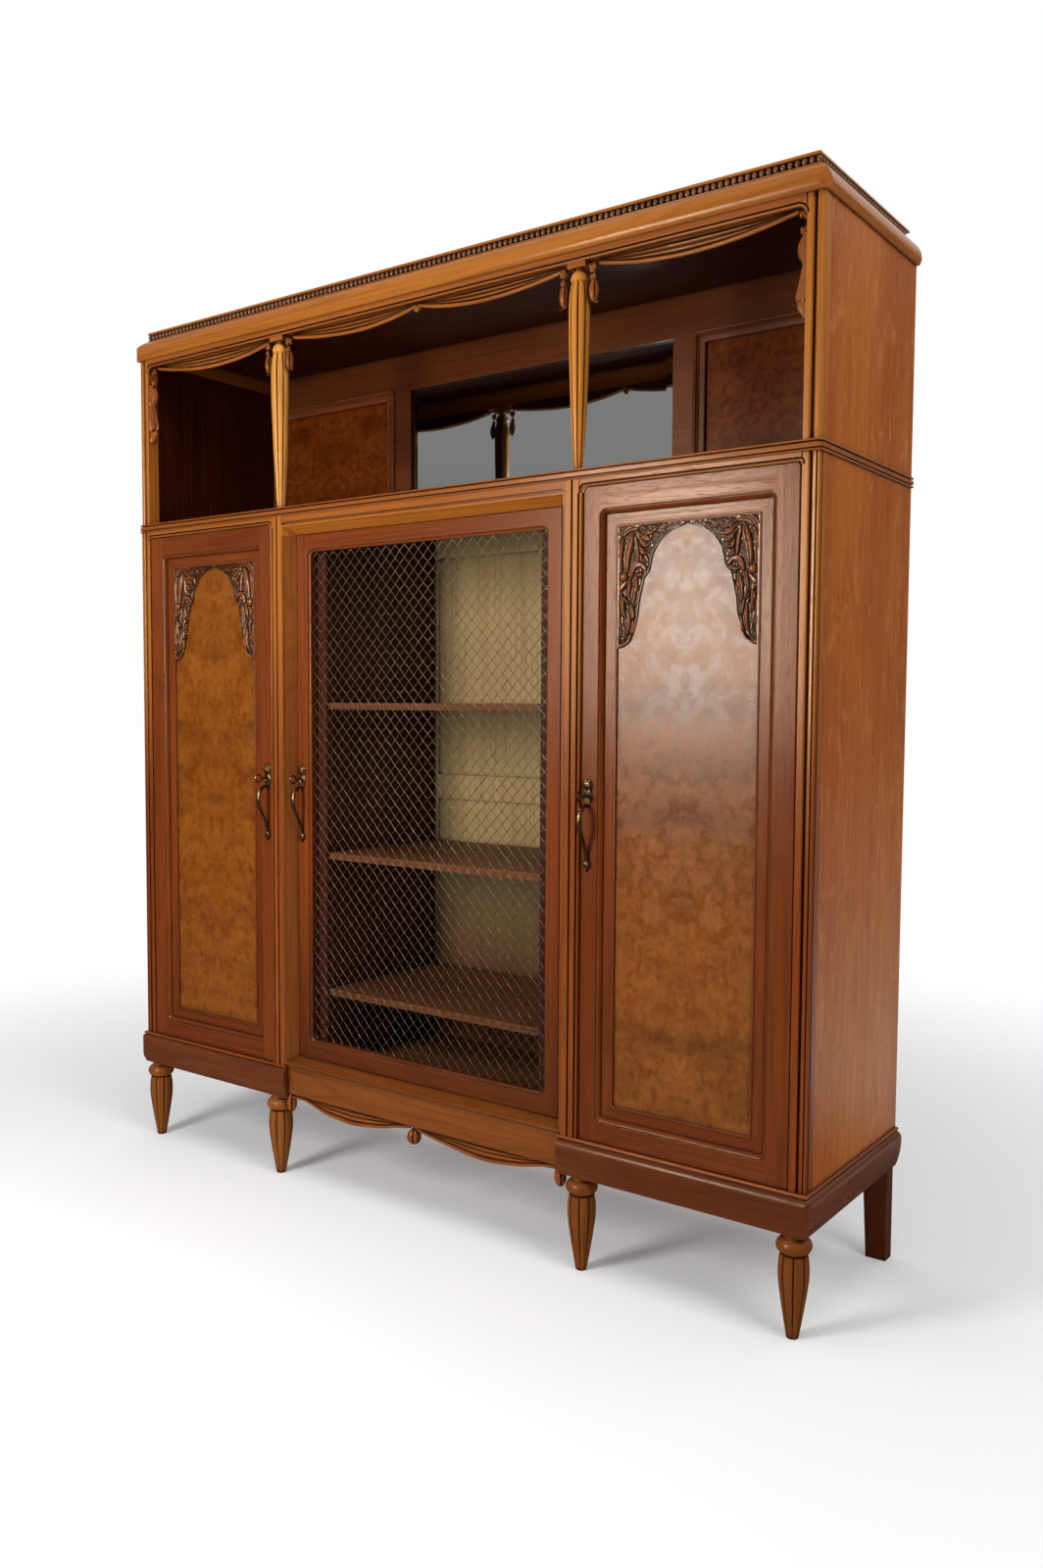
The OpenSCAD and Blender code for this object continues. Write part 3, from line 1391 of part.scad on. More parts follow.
at_carcass() side_left();
at_carcass() side_right();
at_carcass() corner_post_left();
at_carcass() corner_post_right();
at_carcass() mullion_left();
at_carcass() mullion_right();
at_carcass() waist_board();
at_carcass() cornice();
at_carcass() top_board();
at_carcass() crest_rail();
at_carcass() bead_strings();
at_carcass() head_rail();
at_carcass() door_head_rails();
at_carcass() centre_surround();
at_carcass() centre_sill();
at_carcass() apron();
at_carcass() apron_drapery();
at_carcass() plinth_left();
at_carcass() plinth_right();
at_carcass() bottom_board();
at_carcass() partitions();
at_carcass() jamb_boards();
at_carcass() back_frame();
at_carcass() back_panels();
at_carcass() shelves();
at_carcass() shelf_pegs();
at_carcass() niche_frame();
at_carcass() niche_mirror();
at_carcass() niche_panels();
at_carcass() column_left();
at_carcass() column_right();
at_carcass() niche_drapery();
at_carcass() front_legs();
at_carcass() rear_legs();
at_carcass() pivot_plates();
at_carcass() door_left_frame();
at_carcass() door_left_moulding();
at_carcass() door_left_panel();
at_carcass() door_left_pull();
at_carcass() door_left_lock();
at_carcass() door_left_pivots();
at_carcass() door_left_key();
at_carcass() door_left_bolt();
at_carcass() door_right_frame();
at_carcass() door_right_moulding();
at_carcass() door_right_panel();
at_carcass() door_right_pull();
at_carcass() door_right_lock();
at_carcass() door_right_pivots();
at_carcass() door_right_key();
at_carcass() door_right_bolt();
at_carcass() door_centre_frame();
at_carcass() door_centre_lip();
at_carcass() door_centre_grille();
at_carcass() door_centre_pull();
at_carcass() door_centre_lock();
at_carcass() door_centre_pivots();
at_carcass() door_centre_key();
at_carcass() door_centre_bolt();
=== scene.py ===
# Bookcase: finishes, carving, wire net, light and camera around the fixed construction.
# Lengths are in millimetres, y counted from the carcass's front face; at() gives the frame's metres.
import random
from collections import namedtuple
from math import cos, hypot, pi, radians, sin, sqrt

import bmesh
import bpy
import numpy as np
from mathutils import Matrix, Vector


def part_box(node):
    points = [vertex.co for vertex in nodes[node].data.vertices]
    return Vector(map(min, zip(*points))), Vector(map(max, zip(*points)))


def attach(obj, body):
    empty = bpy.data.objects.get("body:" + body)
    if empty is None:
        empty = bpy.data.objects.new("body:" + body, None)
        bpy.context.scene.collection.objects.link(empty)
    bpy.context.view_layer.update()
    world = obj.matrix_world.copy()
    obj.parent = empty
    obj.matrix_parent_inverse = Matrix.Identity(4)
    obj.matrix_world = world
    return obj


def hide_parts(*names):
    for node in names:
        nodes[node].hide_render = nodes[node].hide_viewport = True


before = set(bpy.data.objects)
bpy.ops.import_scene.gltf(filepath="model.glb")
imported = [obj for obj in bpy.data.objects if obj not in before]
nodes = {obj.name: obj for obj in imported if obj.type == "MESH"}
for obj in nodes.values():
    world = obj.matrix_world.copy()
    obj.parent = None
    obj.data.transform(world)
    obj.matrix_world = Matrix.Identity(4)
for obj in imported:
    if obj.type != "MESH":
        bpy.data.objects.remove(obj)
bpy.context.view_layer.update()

MM = 0.001
scene = bpy.context.scene
scene.view_settings.view_transform = "Standard"
SIDES = "left", "centre", "right"
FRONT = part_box("corner_post_right")[0].y / MM
Point = namedtuple("Point", "x y z")


def limits(node):
    """The low and the high corner of a CAD node's box."""
    return [Point(p.x / MM, p.y / MM - FRONT, p.z / MM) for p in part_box(node)]


def centre(node):
    """The middle of a CAD node's box."""
    return Point(*((a + b) / 2 for a, b in zip(*limits(node))))


def at(x, y, z):
    """A point in millimetres, y counted from the carcass's front face, as metres in the frame."""
    return Vector((x * MM, (y + FRONT) * MM, z * MM))


def srgb(red, green, blue):
    """A colour as it is seen, 0 to 255, as a linear colour."""
    def linear(c):
        c /= 255
        return c / 12.92 if c <= 0.04045 else ((c + 0.055) / 1.055) ** 2.4
    return linear(red), linear(green), linear(blue), 1.0


def grey(value):
    return value, value, value, 1.0


# Camera

CAMERA_AT = (1742.4, -1984.6, 1105.4)
CAMERA_YAW = 0.6322
CAMERA_PITCH = -0.0615
CAMERA_ROLL = 0.0059
CAMERA_SENSOR = 36.0
CAMERA_LENS = CAMERA_SENSOR * 1270 / 1600


def make_camera():
    data = bpy.data.cameras.new("camera")
    data.sensor_fit = "VERTICAL"
    data.sensor_height = CAMERA_SENSOR
    data.lens = CAMERA_LENS
    data.clip_start = 0.05
    data.clip_end = 100
    camera = bpy.data.objects.new("camera", data)
    turn = Matrix.Rotation(CAMERA_YAW, 4, "Z") @ Matrix.Rotation(pi / 2 + CAMERA_PITCH, 4, "X")
    camera.matrix_world = Matrix.Translation(at(*CAMERA_AT)) @ turn @ Matrix.Rotation(CAMERA_ROLL, 4, "Z")
    scene.collection.objects.link(camera)
    scene.camera = camera


# Shader building

tree = None


def start_tree(owner):
    """Empty the node tree of a material or world; the helpers below add their nodes to it."""
    global tree
    owner.use_nodes = True
    tree = owner.node_tree
    tree.nodes.clear()
    return owner


def new_material(name):
    return start_tree(bpy.data.materials.new(name))


def add(kind, inputs=None, **settings):
    """Add a node with its settings, and its inputs by name or number as links or plain values."""
    made = tree.nodes.new("ShaderNode" + kind)
    for key, value in settings.items():
        setattr(made, key, value)
    for key, value in (inputs or {}).items():
        if isinstance(value, bpy.types.NodeSocket):
            tree.links.new(value, made.inputs[key])
        elif value is not None:
            made.inputs[key].default_value = value
    return made


def show(shader, kind="OutputMaterial"):
    """Make a shader the result of the tree."""
    tree.links.new(shader.outputs[0], add(kind).inputs[0])


def calc(operation, a, b=None):
    return add("Math", {0: a, 1: b}, operation=operation).outputs[0]


def times(a, b):
    return calc("MULTIPLY", a, b)


def vector(operation, a, b=None, output=0):
    return add("VectorMath", {0: a, 1: b}, operation=operation).outputs[output]


def spread(value, low, high, out_low=0.0, out_high=1.0):
    """Map low..high to out_low..out_high with a smooth, clamped curve."""
    return add("MapRange", {0: value, 1: low, 2: high, 3: out_low, 4: out_high},
               interpolation_type="SMOOTHSTEP").outputs[0]


def blend(factor, a, b):
    """A colour between two."""
    return add("Mix", {0: factor, 6: a, 7: b}, data_type="RGBA").outputs[2]


def between(factor, a, b):
    """A value between two."""
    return add("Mix", {0: factor, 2: a, 3: b}).outputs[0]


def combine(x, y, z):
    return add("CombineXYZ", {0: x, 1: y, 2: z}).outputs[0]


def xyz(point):
    return add("SeparateXYZ", {0: point}).outputs


def stretch(point, x, y, z):
    return vector("MULTIPLY", point, (x, y, z))


def noise(point, scale, detail=4.0, roughness=0.55, distortion=0.0, output="Fac"):
    return add("TexNoise", {"Vector": point, "Scale": scale, "Detail": detail, "Roughness": roughness,
                            "Distortion": distortion}).outputs[output]


def hollow(reach):
    """Low in corners and hollows, 1 in the open."""
    return add("AmbientOcclusion", {"Distance": reach}, samples=4).outputs["AO"]


def here(kind="Object"):
    """The shaded point in the object's own coordinates."""
    return add("TexCoord").outputs[kind]


def own_step(most):
    """A random number for each object."""
    return times(add("ObjectInfo").outputs["Random"], most)


def place():
    """The shaded point, and the same shifted by a step of its own for each object."""
    point = here()
    shift = own_step(7.0)
    return point, vector("ADD", point, combine(shift, shift, shift))


def inside(value, half):
    """1 where the value lies within half of zero."""
    return calc("LESS_THAN", calc("ABSOLUTE", value), half)


# Where the grain runs along X: nowhere (None), everywhere, or in the rails of a frame
EVERYWHERE = 1.0


def frame_rails(node, in_x=0, in_low=0, in_high=0):
    """Middle, half width, foot and top of the opening that the rails run above and below."""
    low, high = limits(node)
    return (low.x + high.x) / 2, (high.x - low.x) / 2 - in_x, low.z + in_low, high.z - in_high


def rail_mask(coords, middle, half, low, high):
    """1 above and below an opening, within half of its middle line."""
    x, _, z = xyz(coords)
    off = calc("SUBTRACT", calc("ABSOLUTE", x), middle * MM) if middle > 1 else x
    beyond = calc("SUBTRACT", z, (low + high) / 2 * MM)
    outer = calc("GREATER_THAN", calc("ABSOLUTE", beyond), (high - low) / 2 * MM)
    return times(inside(off, half * MM), outer)


def grain_space(coords, seeded, rails, returns):
    """The point with its coordinate along the grain last: Z, or X on rails, or Y on side returns."""
    x, y, z = xyz(seeded)
    upright = combine(x, y, z)
    if rails is None:
        return upright
    mask = EVERYWHERE if rails == EVERYWHERE else rail_mask(coords, *rails)
    result = blend(mask, upright, combine(z, y, x))
    if returns:
        px, py, _ = xyz(coords)
        beyond = calc("SUBTRACT", calc("ABSOLUTE", px), HALF_W * MM)
        depth = calc("SUBTRACT", py, FRONT * MM)
        side = calc("GREATER_THAN", calc("ADD", beyond, depth), 0.0)
        result = blend(side, result, combine(z, x, y))
    return result


WHITE = grey(1.0)
EDGE_WEAR_COLOUR = srgb(214, 150, 92)
FLAME_COLOUR = srgb(215, 165, 100)
# Colour of the painted shade in corners, hollows and deep parts
PAINTED_SHADE = srgb(30, 10, 6)
WARM_POLISH = (1.0, 0.76, 0.56, 1.0)
CLEAR_POLISH = (1.0, 0.95, 0.84, 1.0)
SOFT_EDGE = 0.0007
HOLLOW_REACH = 0.012
SHADE_LINING_IN = 8


def finish_wood(colour, roughness, height, edge_wear, polish, corner_shade=0.85, tint=WARM_POLISH):
    """Principled surface with softened edges, worn arrises, painted shade in corners and hollows, and a
    tinted polish.
    """
    bevel = add("Bevel", {0: SOFT_EDGE}, samples=4).outputs[0]
    facing = vector("DOT_PRODUCT", bevel, add("NewGeometry").outputs["Normal"], "Value")
    colour = blend(times(spread(facing, 0.99, 0.86), edge_wear), colour, EDGE_WEAR_COLOUR)
    # Painted shade: the colour goes dark in corners and hollows, as far as the ambient occlusion reaches
    if corner_shade:
        colour = blend(spread(hollow(HOLLOW_REACH), 0.38, 0.92, corner_shade, 0.0), colour, PAINTED_SHADE)
    bump = add("Bump", {"Strength": 0.5, "Distance": 0.0004, "Height": height, "Normal": bevel})
    show(add("BsdfPrincipled", {"Base Color": colour, "Roughness": roughness, "Normal": bump.outputs[0],
                                "Specular IOR Level": polish, "Specular Tint": tint}))


def wood(name, pale, mid, dark, rails=None, returns=False, figure=0.0, edge_wear=0.35, rough=0.24,
         polish=0.3, shade_lining=None, sunk=None, crown=None, corner_shade=0.85):
    """Polished wood: broad colour drift, growth lines, fine streaks and pores. It can have a figure, a
    painted shade on the faces that look into the case (lining), a painted shade between two depths (sunk),
    and another colour that comes in between two heights, or everywhere behind a depth (crown), which on
    some woods is painted light on their upper parts and on others painted shade low down."""
    material = new_material(name)
    coords, seeded = place()
    across, depth, up = xyz(coords)
    grain = grain_space(coords, seeded, rails, returns)
    broad = noise(stretch(grain, 1, 1, 0.12), 5, 3, 0.5, 0.3)
    lines = calc("SINE", times(broad, 120.0))
    streak = noise(stretch(grain, 1, 1, 0.016), 170, 5, 0.6)
    pores = spread(noise(stretch(grain, 1, 1, 0.035), 1100, 2, 0.5), 0.6, 0.72)
    drift = spread(broad, 0.3, 0.7)
    colour = blend(drift, mid, pale)
    colour = blend(spread(lines, 0.1, 1.0, 0.0, 0.16), colour, dark)
    colour = blend(spread(streak, 0.45, 0.72, 0.0, 0.42), colour, dark)
    if figure:
        cross = noise(stretch(grain, 0.9, 1, 0.5), 24, 3, 0.6, 1.2)
        flame = times(spread(cross, 0.5, 0.75), spread(streak, 0.3, 0.6))
        colour = blend(times(flame, figure), colour, pale)
        colour = blend(times(flame, figure * 0.4), colour, FLAME_COLOUR)
    # Painted shade: the faces that look into the case take darker colours
    if shade_lining:
        stain = blend(drift, shade_lining["mid"], shade_lining["pale"])
        stain = blend(spread(streak, 0.4, 0.7), stain, shade_lining["dark"])
        colour = blend(inside(across, (HALF_W - SHADE_LINING_IN) * MM), colour, stain)
    colour = blend(times(pores, 0.28), colour, dark)
    roughness = spread(streak, 0.3, 0.7, rough - 0.05, rough + 0.08)
    height = calc("SUBTRACT", times(streak, 0.25), times(pores, 0.5))
    # Painted shade: the colour goes dark between two depths, in recesses and on backs that lie in shade
    if sunk:
        hidden = spread(depth, (FRONT + sunk[0]) * MM, (FRONT + sunk[1]) * MM)
        colour = blend(times(hidden, 0.9), colour, PAINTED_SHADE)
    # Crown: painted light on the upper posts, mullions and the plinth's bead; painted shade low on the centre
    # door and on the case's back inside; on the rails and the surround simply another colour
    if crown:
        above = spread(up, crown["low"] * MM, crown["high"] * MM)
        if "behind" in crown:
            behind = calc("GREATER_THAN", depth, (FRONT + crown["behind"]) * MM)
            above = calc("MAXIMUM", above, behind)
        lighter = blend(spread(streak, 0.35, 0.7), crown["pale"], crown["mid"])
        colour = blend(above, colour, lighter)
    finish_wood(colour, roughness, height, edge_wear, polish, corner_shade)
    return material


def burl(name, pale, mid, dark, middle, polish, scale=1.0, tint=CLEAR_POLISH):
    """Burl veneer in two matched leaves that mirror each other about x = +-middle: bands of figure,
    bundles of curls that run upwards, small eyes and a silky grain."""
    material = new_material(name)
    coords = here()
    x, y, z = xyz(coords)
    leaf = calc("ABSOLUTE", calc("SUBTRACT", calc("ABSOLUTE", x), middle * MM))
    leaf = calc("ADD", leaf, times(noise(coords, 5.0, 2), 0.02))
    seeded = combine(leaf, y, calc("ADD", z, own_step(3.0)))
    bend = vector("SUBTRACT", noise(seeded, 14.0 * scale, 3.0, 0.55, 0.5, "Color"), (0.5, 0.5, 0.5))
    swirled = vector("ADD", seeded, stretch(bend, 0.03, 0.0, 0.034))
    bands = noise(stretch(swirled, 0.5, 1, 1.25), 9.5 * scale, 3, 0.5, 0.3)
    curls = noise(stretch(swirled, 1, 1, 0.36), 125 * scale, 4, 0.6, 0.7)
    cloud = noise(stretch(swirled, 1, 1, 1.1), 34 * scale, 4, 0.6, 0.5)
    silk = noise(stretch(swirled, 1, 1, 0.2), 420, 3, 0.6)
    eyes = add("TexVoronoi", {"Vector": swirled, "Scale": 85.0 * scale}).outputs["Distance"]
    flecks = noise(stretch(swirled, 1, 1, 0.5), 300, 4, 0.65)
    drift = noise(coords, 7.0, 3)
    colour = blend(spread(cloud, 0.3, 0.7), mid, pale)
    for figure, low, high, most, tone in ((drift, 0.4, 0.65, 0.35, mid), (curls, 0.45, 0.7, 0.34, dark),
                                          (curls, 0.48, 0.3, 0.5, pale), (bands, 0.38, 0.74, 0.5, dark),
                                          (silk, 0.45, 0.75, 0.28, dark), (flecks, 0.52, 0.7, 0.3, dark),
                                          (eyes, 0.14, 0.04, 0.25, dark)):
        colour = blend(spread(figure, low, high, 0.0, most), colour, tone)
    finish_wood(colour, spread(cloud, 0.3, 0.7, 0.24, 0.34), silk, 0.0, polish, tint=tint)
    return material


def metal(name, colour, dark, rough):
    """Patinated metal, darker in its hollows."""
    material = new_material(name)
    _, seeded = place()
    mottle = noise(seeded, 160, 5, 0.65)
    tint = blend(spread(mottle, 0.35, 0.7), colour, dark)
    tint = blend(spread(hollow(HOLLOW_REACH / 2), 0.3, 0.9, 0.8, 0.0), tint, dark)
    bump = add("Bump", {"Strength": 0.25, "Distance": 0.0003, "Height": mottle})
    show(add("BsdfPrincipled", {"Base Color": tint, "Metallic": 1.0, "Normal": bump.outputs[0],
                                "Roughness": spread(mottle, 0.3, 0.7, rough, rough + 0.15)}))
    return material


def mirror(name):
    """Old mirror glass: silver with a slight grey cast and faint specks, painted brown behind."""
    material = new_material(name)
    coords, seeded = place()
    specks = noise(seeded, 90, 5, 0.7)
    painted = calc("GREATER_THAN", xyz(coords)[1], (FRONT + MIRROR_HIGH.y - 1) * MM)
    tint = blend(spread(specks, 0.6, 0.8, 0.0, 0.4), srgb(222, 226, 224), srgb(150, 150, 146))
    tint = blend(painted, tint, srgb(84, 60, 44))
    gloss = spread(specks, 0.4, 0.8, 0.015, 0.05)
    show(add("BsdfPrincipled", {"Base Color": tint, "Metallic": calc("SUBTRACT", 1.0, painted),
                                "Roughness": calc("MAXIMUM", gloss, times(painted, 0.7))}))
    return material


# Finishes

def tones(pale, mid, dark):
    """The three colours of a wood, as they are seen."""
    return dict(pale=srgb(*pale), mid=srgb(*mid), dark=srgb(*dark))


RED = tones((134, 66, 23), (110, 47, 13), (66, 21, 5))
DOOR = tones((120, 56, 19), (96, 39, 10), (58, 18, 4))
SHADED = tones((96, 44, 16), (74, 30, 9), (46, 15, 5))
PLINTH = tones((110, 56, 28), (88, 40, 17), (54, 21, 9))
BROWN = tones((126, 68, 25), (102, 50, 15), (60, 24, 6))
HONEY = tones((164, 98, 34), (138, 74, 19), (88, 38, 8))
WAIST = tones((150, 84, 32), (122, 62, 20), (76, 30, 8))
POST = tones((132, 63, 20), (110, 46, 12), (64, 22, 5))
LEG = tones((142, 82, 33), (114, 58, 19), (66, 28, 8))
GOLD = tones((222, 156, 74), (190, 120, 46), (102, 52, 15))
CLOTH = tones((174, 104, 47), (138, 76, 28), (78, 34, 10))
SIDE = tones((174, 95, 29), (152, 76, 15), (106, 44, 7))
# Colours of the painted shade inside the case
DEEP_SHADE = tones((74, 26, 11), (54, 16, 7), (30, 8, 4))
SHELF = tones((112, 64, 36), (86, 46, 24), (54, 24, 12))
# Colours of the painted shade in quirks and channels
GROOVE_SHADE = tones((38, 15, 8), (27, 10, 5), (16, 6, 3))
NICHE = tones((112, 56, 24), (86, 39, 15), (52, 19, 8))
CARVED = tones((150, 84, 36), (116, 57, 21), (58, 23, 8))
BEADS = tones((118, 80, 54), (92, 58, 38), (50, 28, 17))
PALE = tones((190, 162, 112), (168, 138, 88), (124, 94, 52))
BURL = tones((140, 78, 16), (116, 57, 5), (66, 26, 2))
DARK_BURL = tones((118, 54, 13), (90, 36, 7), (50, 16, 3))


def make_materials():
    plinth_top = limits("plinth_right")[1].z
    back_y = limits("back_panels")[1].y - 1
    level = dict(rails=EVERYWHERE)
    woods = {
        "upright": RED,
        "shaded_upright": SHADED,
        # Mullions lighter towards the top: painted light from above
        "mullion": dict(RED, crown=dict(HONEY, low=850, high=1400)),
        "level": dict(BROWN, **level, crown=dict(WAIST, low=1300, high=1500)),
        # The plinth's top bead in a lighter red: painted light on its top
        "plinth": dict(PLINTH, **level, returns=True,
                       crown=dict(RED, low=plinth_top - 8, high=plinth_top - 7)),
        "side_door": dict(DOOR, rails=frame_rails("door_right_moulding"), polish=0.36),
        "sunk_frame": dict(DOOR, rails=frame_rails("door_right_moulding", BAND_W, *[SUNK_W + BAND_W] * 2),
                           polish=0.36),
        # The centre door darker low down: painted shade, lighter above
        "centre_door": dict(SHADED, rails=frame_rails("door_centre_lip"),
                            crown=dict(DOOR, low=300, high=800)),
        "surround": dict(BROWN, rails=frame_rails("centre_surround", 12, 12, 18),
                         crown=dict(HONEY, low=1491, high=1493)),
        # Posts lighter towards the top: painted light from above
        "post": dict(POST, crown=dict(HONEY, low=750, high=1450), polish=0.5),
        "cornice": dict(HONEY, **level, returns=True),
        "waist": dict(WAIST, **level, returns=True, edge_wear=0.15),
        "crest": dict(HONEY, **level, returns=True, edge_wear=0.15),
        "bead": dict(BEADS, rough=0.2, polish=0.9, corner_shade=0.0),
        # Very dark strips that paint the shade in the quirks and the crest's channel
        "groove": dict(GROOVE_SHADE, **level, edge_wear=0.0, rough=0.5, polish=0.1),
        # The sides' faces inside the case, the partitions, the jambs and the top board in the very dark
        # colours of painted shade
        "side": dict(SIDE, figure=0.5, edge_wear=0.0, shade_lining=DEEP_SHADE),
        "deep_shade_upright": dict(DEEP_SHADE, rough=0.5, polish=0.2),
        "deep_shade_level": dict(DEEP_SHADE, **level, rough=0.5, polish=0.2),
        "shelf": dict(SHELF, **level, rough=0.45, polish=0.2),
        "niche_level": dict(NICHE, **level, rough=0.35, polish=0.2),
        "leg": dict(LEG, edge_wear=0.2),
        # Painted shade on the back of each column, in the swags' deep folds and on the carving's ground
        "column": dict(GOLD, edge_wear=0.2, sunk=(COLUMN_Y + 4, COLUMN_Y + 12)),
        "swag": dict(CLOTH, **level, edge_wear=0.2, corner_shade=0.92, sunk=(22.5, 26.5)),
        "apron_swag": dict(CARVED, **level, edge_wear=0.3, corner_shade=0.9),
        "carving": dict(CARVED, edge_wear=0.3, rough=0.17, polish=0.8, corner_shade=0.9,
                        sunk=(DOOR_FACE + 7.4, DOOR_FACE + 11.8)),
        # The back and bottom board darker low down inside the case: painted shade
        "pale": dict(SHELF, edge_wear=0.0, rough=0.6, polish=0.1,
                     crown=dict(PALE, low=350, high=900, behind=back_y)),
    }
    made = {key: wood("wood_" + key, **look) for key, look in woods.items()}
    made["burl"] = burl("wood_burl", **BURL, middle=DOOR_MID_X, polish=0.42)
    made["dark_burl"] = burl("wood_dark_burl", **DARK_BURL, middle=NICHE_PANEL_X, polish=0.1, scale=1.4,
                             tint=WARM_POLISH)
    made["mirror"] = mirror("glass_mirror")
    made["bronze"] = metal("metal_bronze", srgb(150, 112, 74), srgb(46, 31, 21), 0.26)
    made["steel"] = metal("metal_steel", srgb(150, 142, 128), srgb(84, 76, 66), 0.35)
    made["wire"] = metal("metal_wire", srgb(136, 125, 106), srgb(70, 59, 44), 0.36)
    return made


# The CAD nodes that wear each finish
DRESSED = {
    "side": "side_left side_right",
    "post": "corner_post_left corner_post_right",
    "mullion": "mullion_left mullion_right",
    "waist": "waist_board",
    "cornice": "cornice",
    "crest": "crest_rail",
    "bead": "bead_strings",
    "level": "head_rail door_head_rails centre_sill apron",
    "surround": "centre_surround",
    "plinth": "plinth_left plinth_right",
    "pale": "bottom_board back_frame back_panels",
    "deep_shade_upright": "partitions jamb_boards",
    "deep_shade_level": "top_board",
    "shelf": "shelves",
    "steel": "shelf_pegs pivot_plates",
    "niche_level": "niche_frame",
    "mirror": "niche_mirror",
    "dark_burl": "niche_panels",
    "column": "column_left column_right",
    "swag": "niche_drapery",
    "apron_swag": "apron_drapery",
    "leg": "front_legs",
    "shaded_upright": "rear_legs",
    "side_door": "door_left_frame door_right_frame",
    "upright": "door_left_moulding door_right_moulding",
    "burl": "door_left_panel door_right_panel",
    "centre_door": "door_centre_frame door_centre_lip",
    "wire": "door_centre_grille",
}
DOOR_METAL = {"pull": "bronze", "key": "bronze", "lock": "steel", "bolt": "steel", "pivots": "steel"}


def dress_nodes():
    looks = [(node, key) for key, names in DRESSED.items() for node in names.split()]
    looks += [("door_%s_%s" % (side, part), key) for side in SIDES for part, key in DOOR_METAL.items()]
    for node, key in looks:
        for slot in nodes[node].material_slots:
            slot.material = finish[key]


# Mesh building

class Shape:
    """Points in millimetres and the faces between them."""

    def __init__(self):
        self.points = []
        self.faces = []

    def rows(self, rows, round_rows=False, round_columns=False):
        """Join rows of points into a sheet; either way may close on itself."""
        start = len(self.points)
        wide = len(rows[0])
        for row in rows:
            self.points += row
        for i in range(len(rows) - (0 if round_rows else 1)):
            for j in range(wide - (0 if round_columns else 1)):
                a = start + i * wide + j
                b = start + i * wide + (j + 1) % wide
                c = start + (i + 1) % len(rows) * wide + (j + 1) % wide
                d = start + (i + 1) % len(rows) * wide + j
                self.faces.append((a, b, c, d))
        return start

    def relief(self, rows, back):
        """A carved sheet of (x, y, z) rows, closed by a flat back at y = back."""
        high, wide = len(rows), len(rows[0])
        front = self.rows(rows)
        rear = self.rows([[(x, back, z) for x, _, z in row] for row in rows])
        rim = [(0, j) for j in range(wide)] + [(i, wide - 1) for i in range(1, high)]
        rim += [(high - 1, j) for j in range(wide - 2, -1, -1)] + [(i, 0) for i in range(high - 2, 0, -1)]
        for k, (i, j) in enumerate(rim):
            m, n = rim[(k + 1) % len(rim)]
            self.faces.append((front + i * wide + j, front + m * wide + n, rear + m * wide + n,
                               rear + i * wide + j))

    def mirrored(self):
        other = Shape()
        other.points = [(-x, y, z) for x, y, z in self.points]
        other.faces = [tuple(reversed(f)) for f in self.faces]
        return other

    def placed(self, rule):
        """A copy whose points are moved by a rule of x, y, z."""
        other = Shape()
        other.points = [rule(*p) for p in self.points]
        other.faces = list(self.faces)
        return other

    def moved(self, dx=0, dy=0, dz=0):
        return self.placed(lambda x, y, z: (x + dx, y + dy, z + dz))

    def join(self, *others):
        for other in others:
            start = len(self.points)
            self.points += other.points
            self.faces += [tuple(start + i for i in f) for f in other.faces]
        return self


def tube(rings):
    """A closed skin over rings of points, with flat ends."""
    shape = Shape()
    shape.rows(rings, round_columns=True)
    wide, total = len(rings[0]), len(shape.points)
    shape.faces += [tuple(range(wide)), tuple(reversed(range(total - wide, total)))]
    return shape


def loop(rows):
    """A skin over rows of points that closes on itself both ways."""
    shape = Shape()
    shape.rows(rows, True, True)
    return shape


def turns(count):
    """Angles spaced evenly round a circle."""
    return [2 * pi * k / count for k in range(count)]


def piece(name, shape, look, body, replaced=(), smooth_below=38):
    """Make an object from a shape, dress it and let it ride on a body."""
    mesh = bpy.data.meshes.new(name)
    mesh.from_pydata([at(*p) for p in shape.points], [], shape.faces)
    work = bmesh.new()
    work.from_mesh(mesh)
    bmesh.ops.recalc_face_normals(work, faces=work.faces)
    work.to_mesh(mesh)
    work.free()
    mesh.polygons.foreach_set("use_smooth", [True] * len(mesh.polygons))
    mesh.set_sharp_from_angle(angle=radians(smooth_below))
    made = bpy.data.objects.new(name, mesh)
    scene.collection.objects.link(made)
    mesh.materials.append(finish[look])
    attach(made, body)
    if replaced:
        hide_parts(*replaced)
    return made


def pair(name, shape, look, body, replaced=()):
    """A right piece and its mirrored left one; %s in the names stands for the side."""
    for side, part in (("right", shape), ("left", shape.mirrored())):
        rides = body % side if "%s" in body else body
        piece(name % side, part, look, rides, [r % side for r in replaced])


def mix(a, b, t):
    return a + (b - a) * t


def curve(points, t):
    """A point on a smooth curve through the points, t from 0 to 1."""
    n = len(points) - 1
    i = min(int(t * n), n - 1)
    u = t * n - i
    p = [points[max(0, min(n, i + k))] for k in (-1, 0, 1, 2)]
    return tuple(0.5 * (2 * b + (c - a) * u + (2 * a - 5 * b + 4 * c - d) * u ** 2
                        + (3 * b - a - 3 * c + d) * u ** 3) for a, b, c, d in zip(*p))


def steps(count):
    return [i / (count - 1) for i in range(count)]


# Turned and lobed forms

REED_SPOTS = (-1.0, -0.955, -0.91, -0.86, -0.7, -0.42, 0.0, 0.42, 0.7, 0.86, 0.91, 0.955)


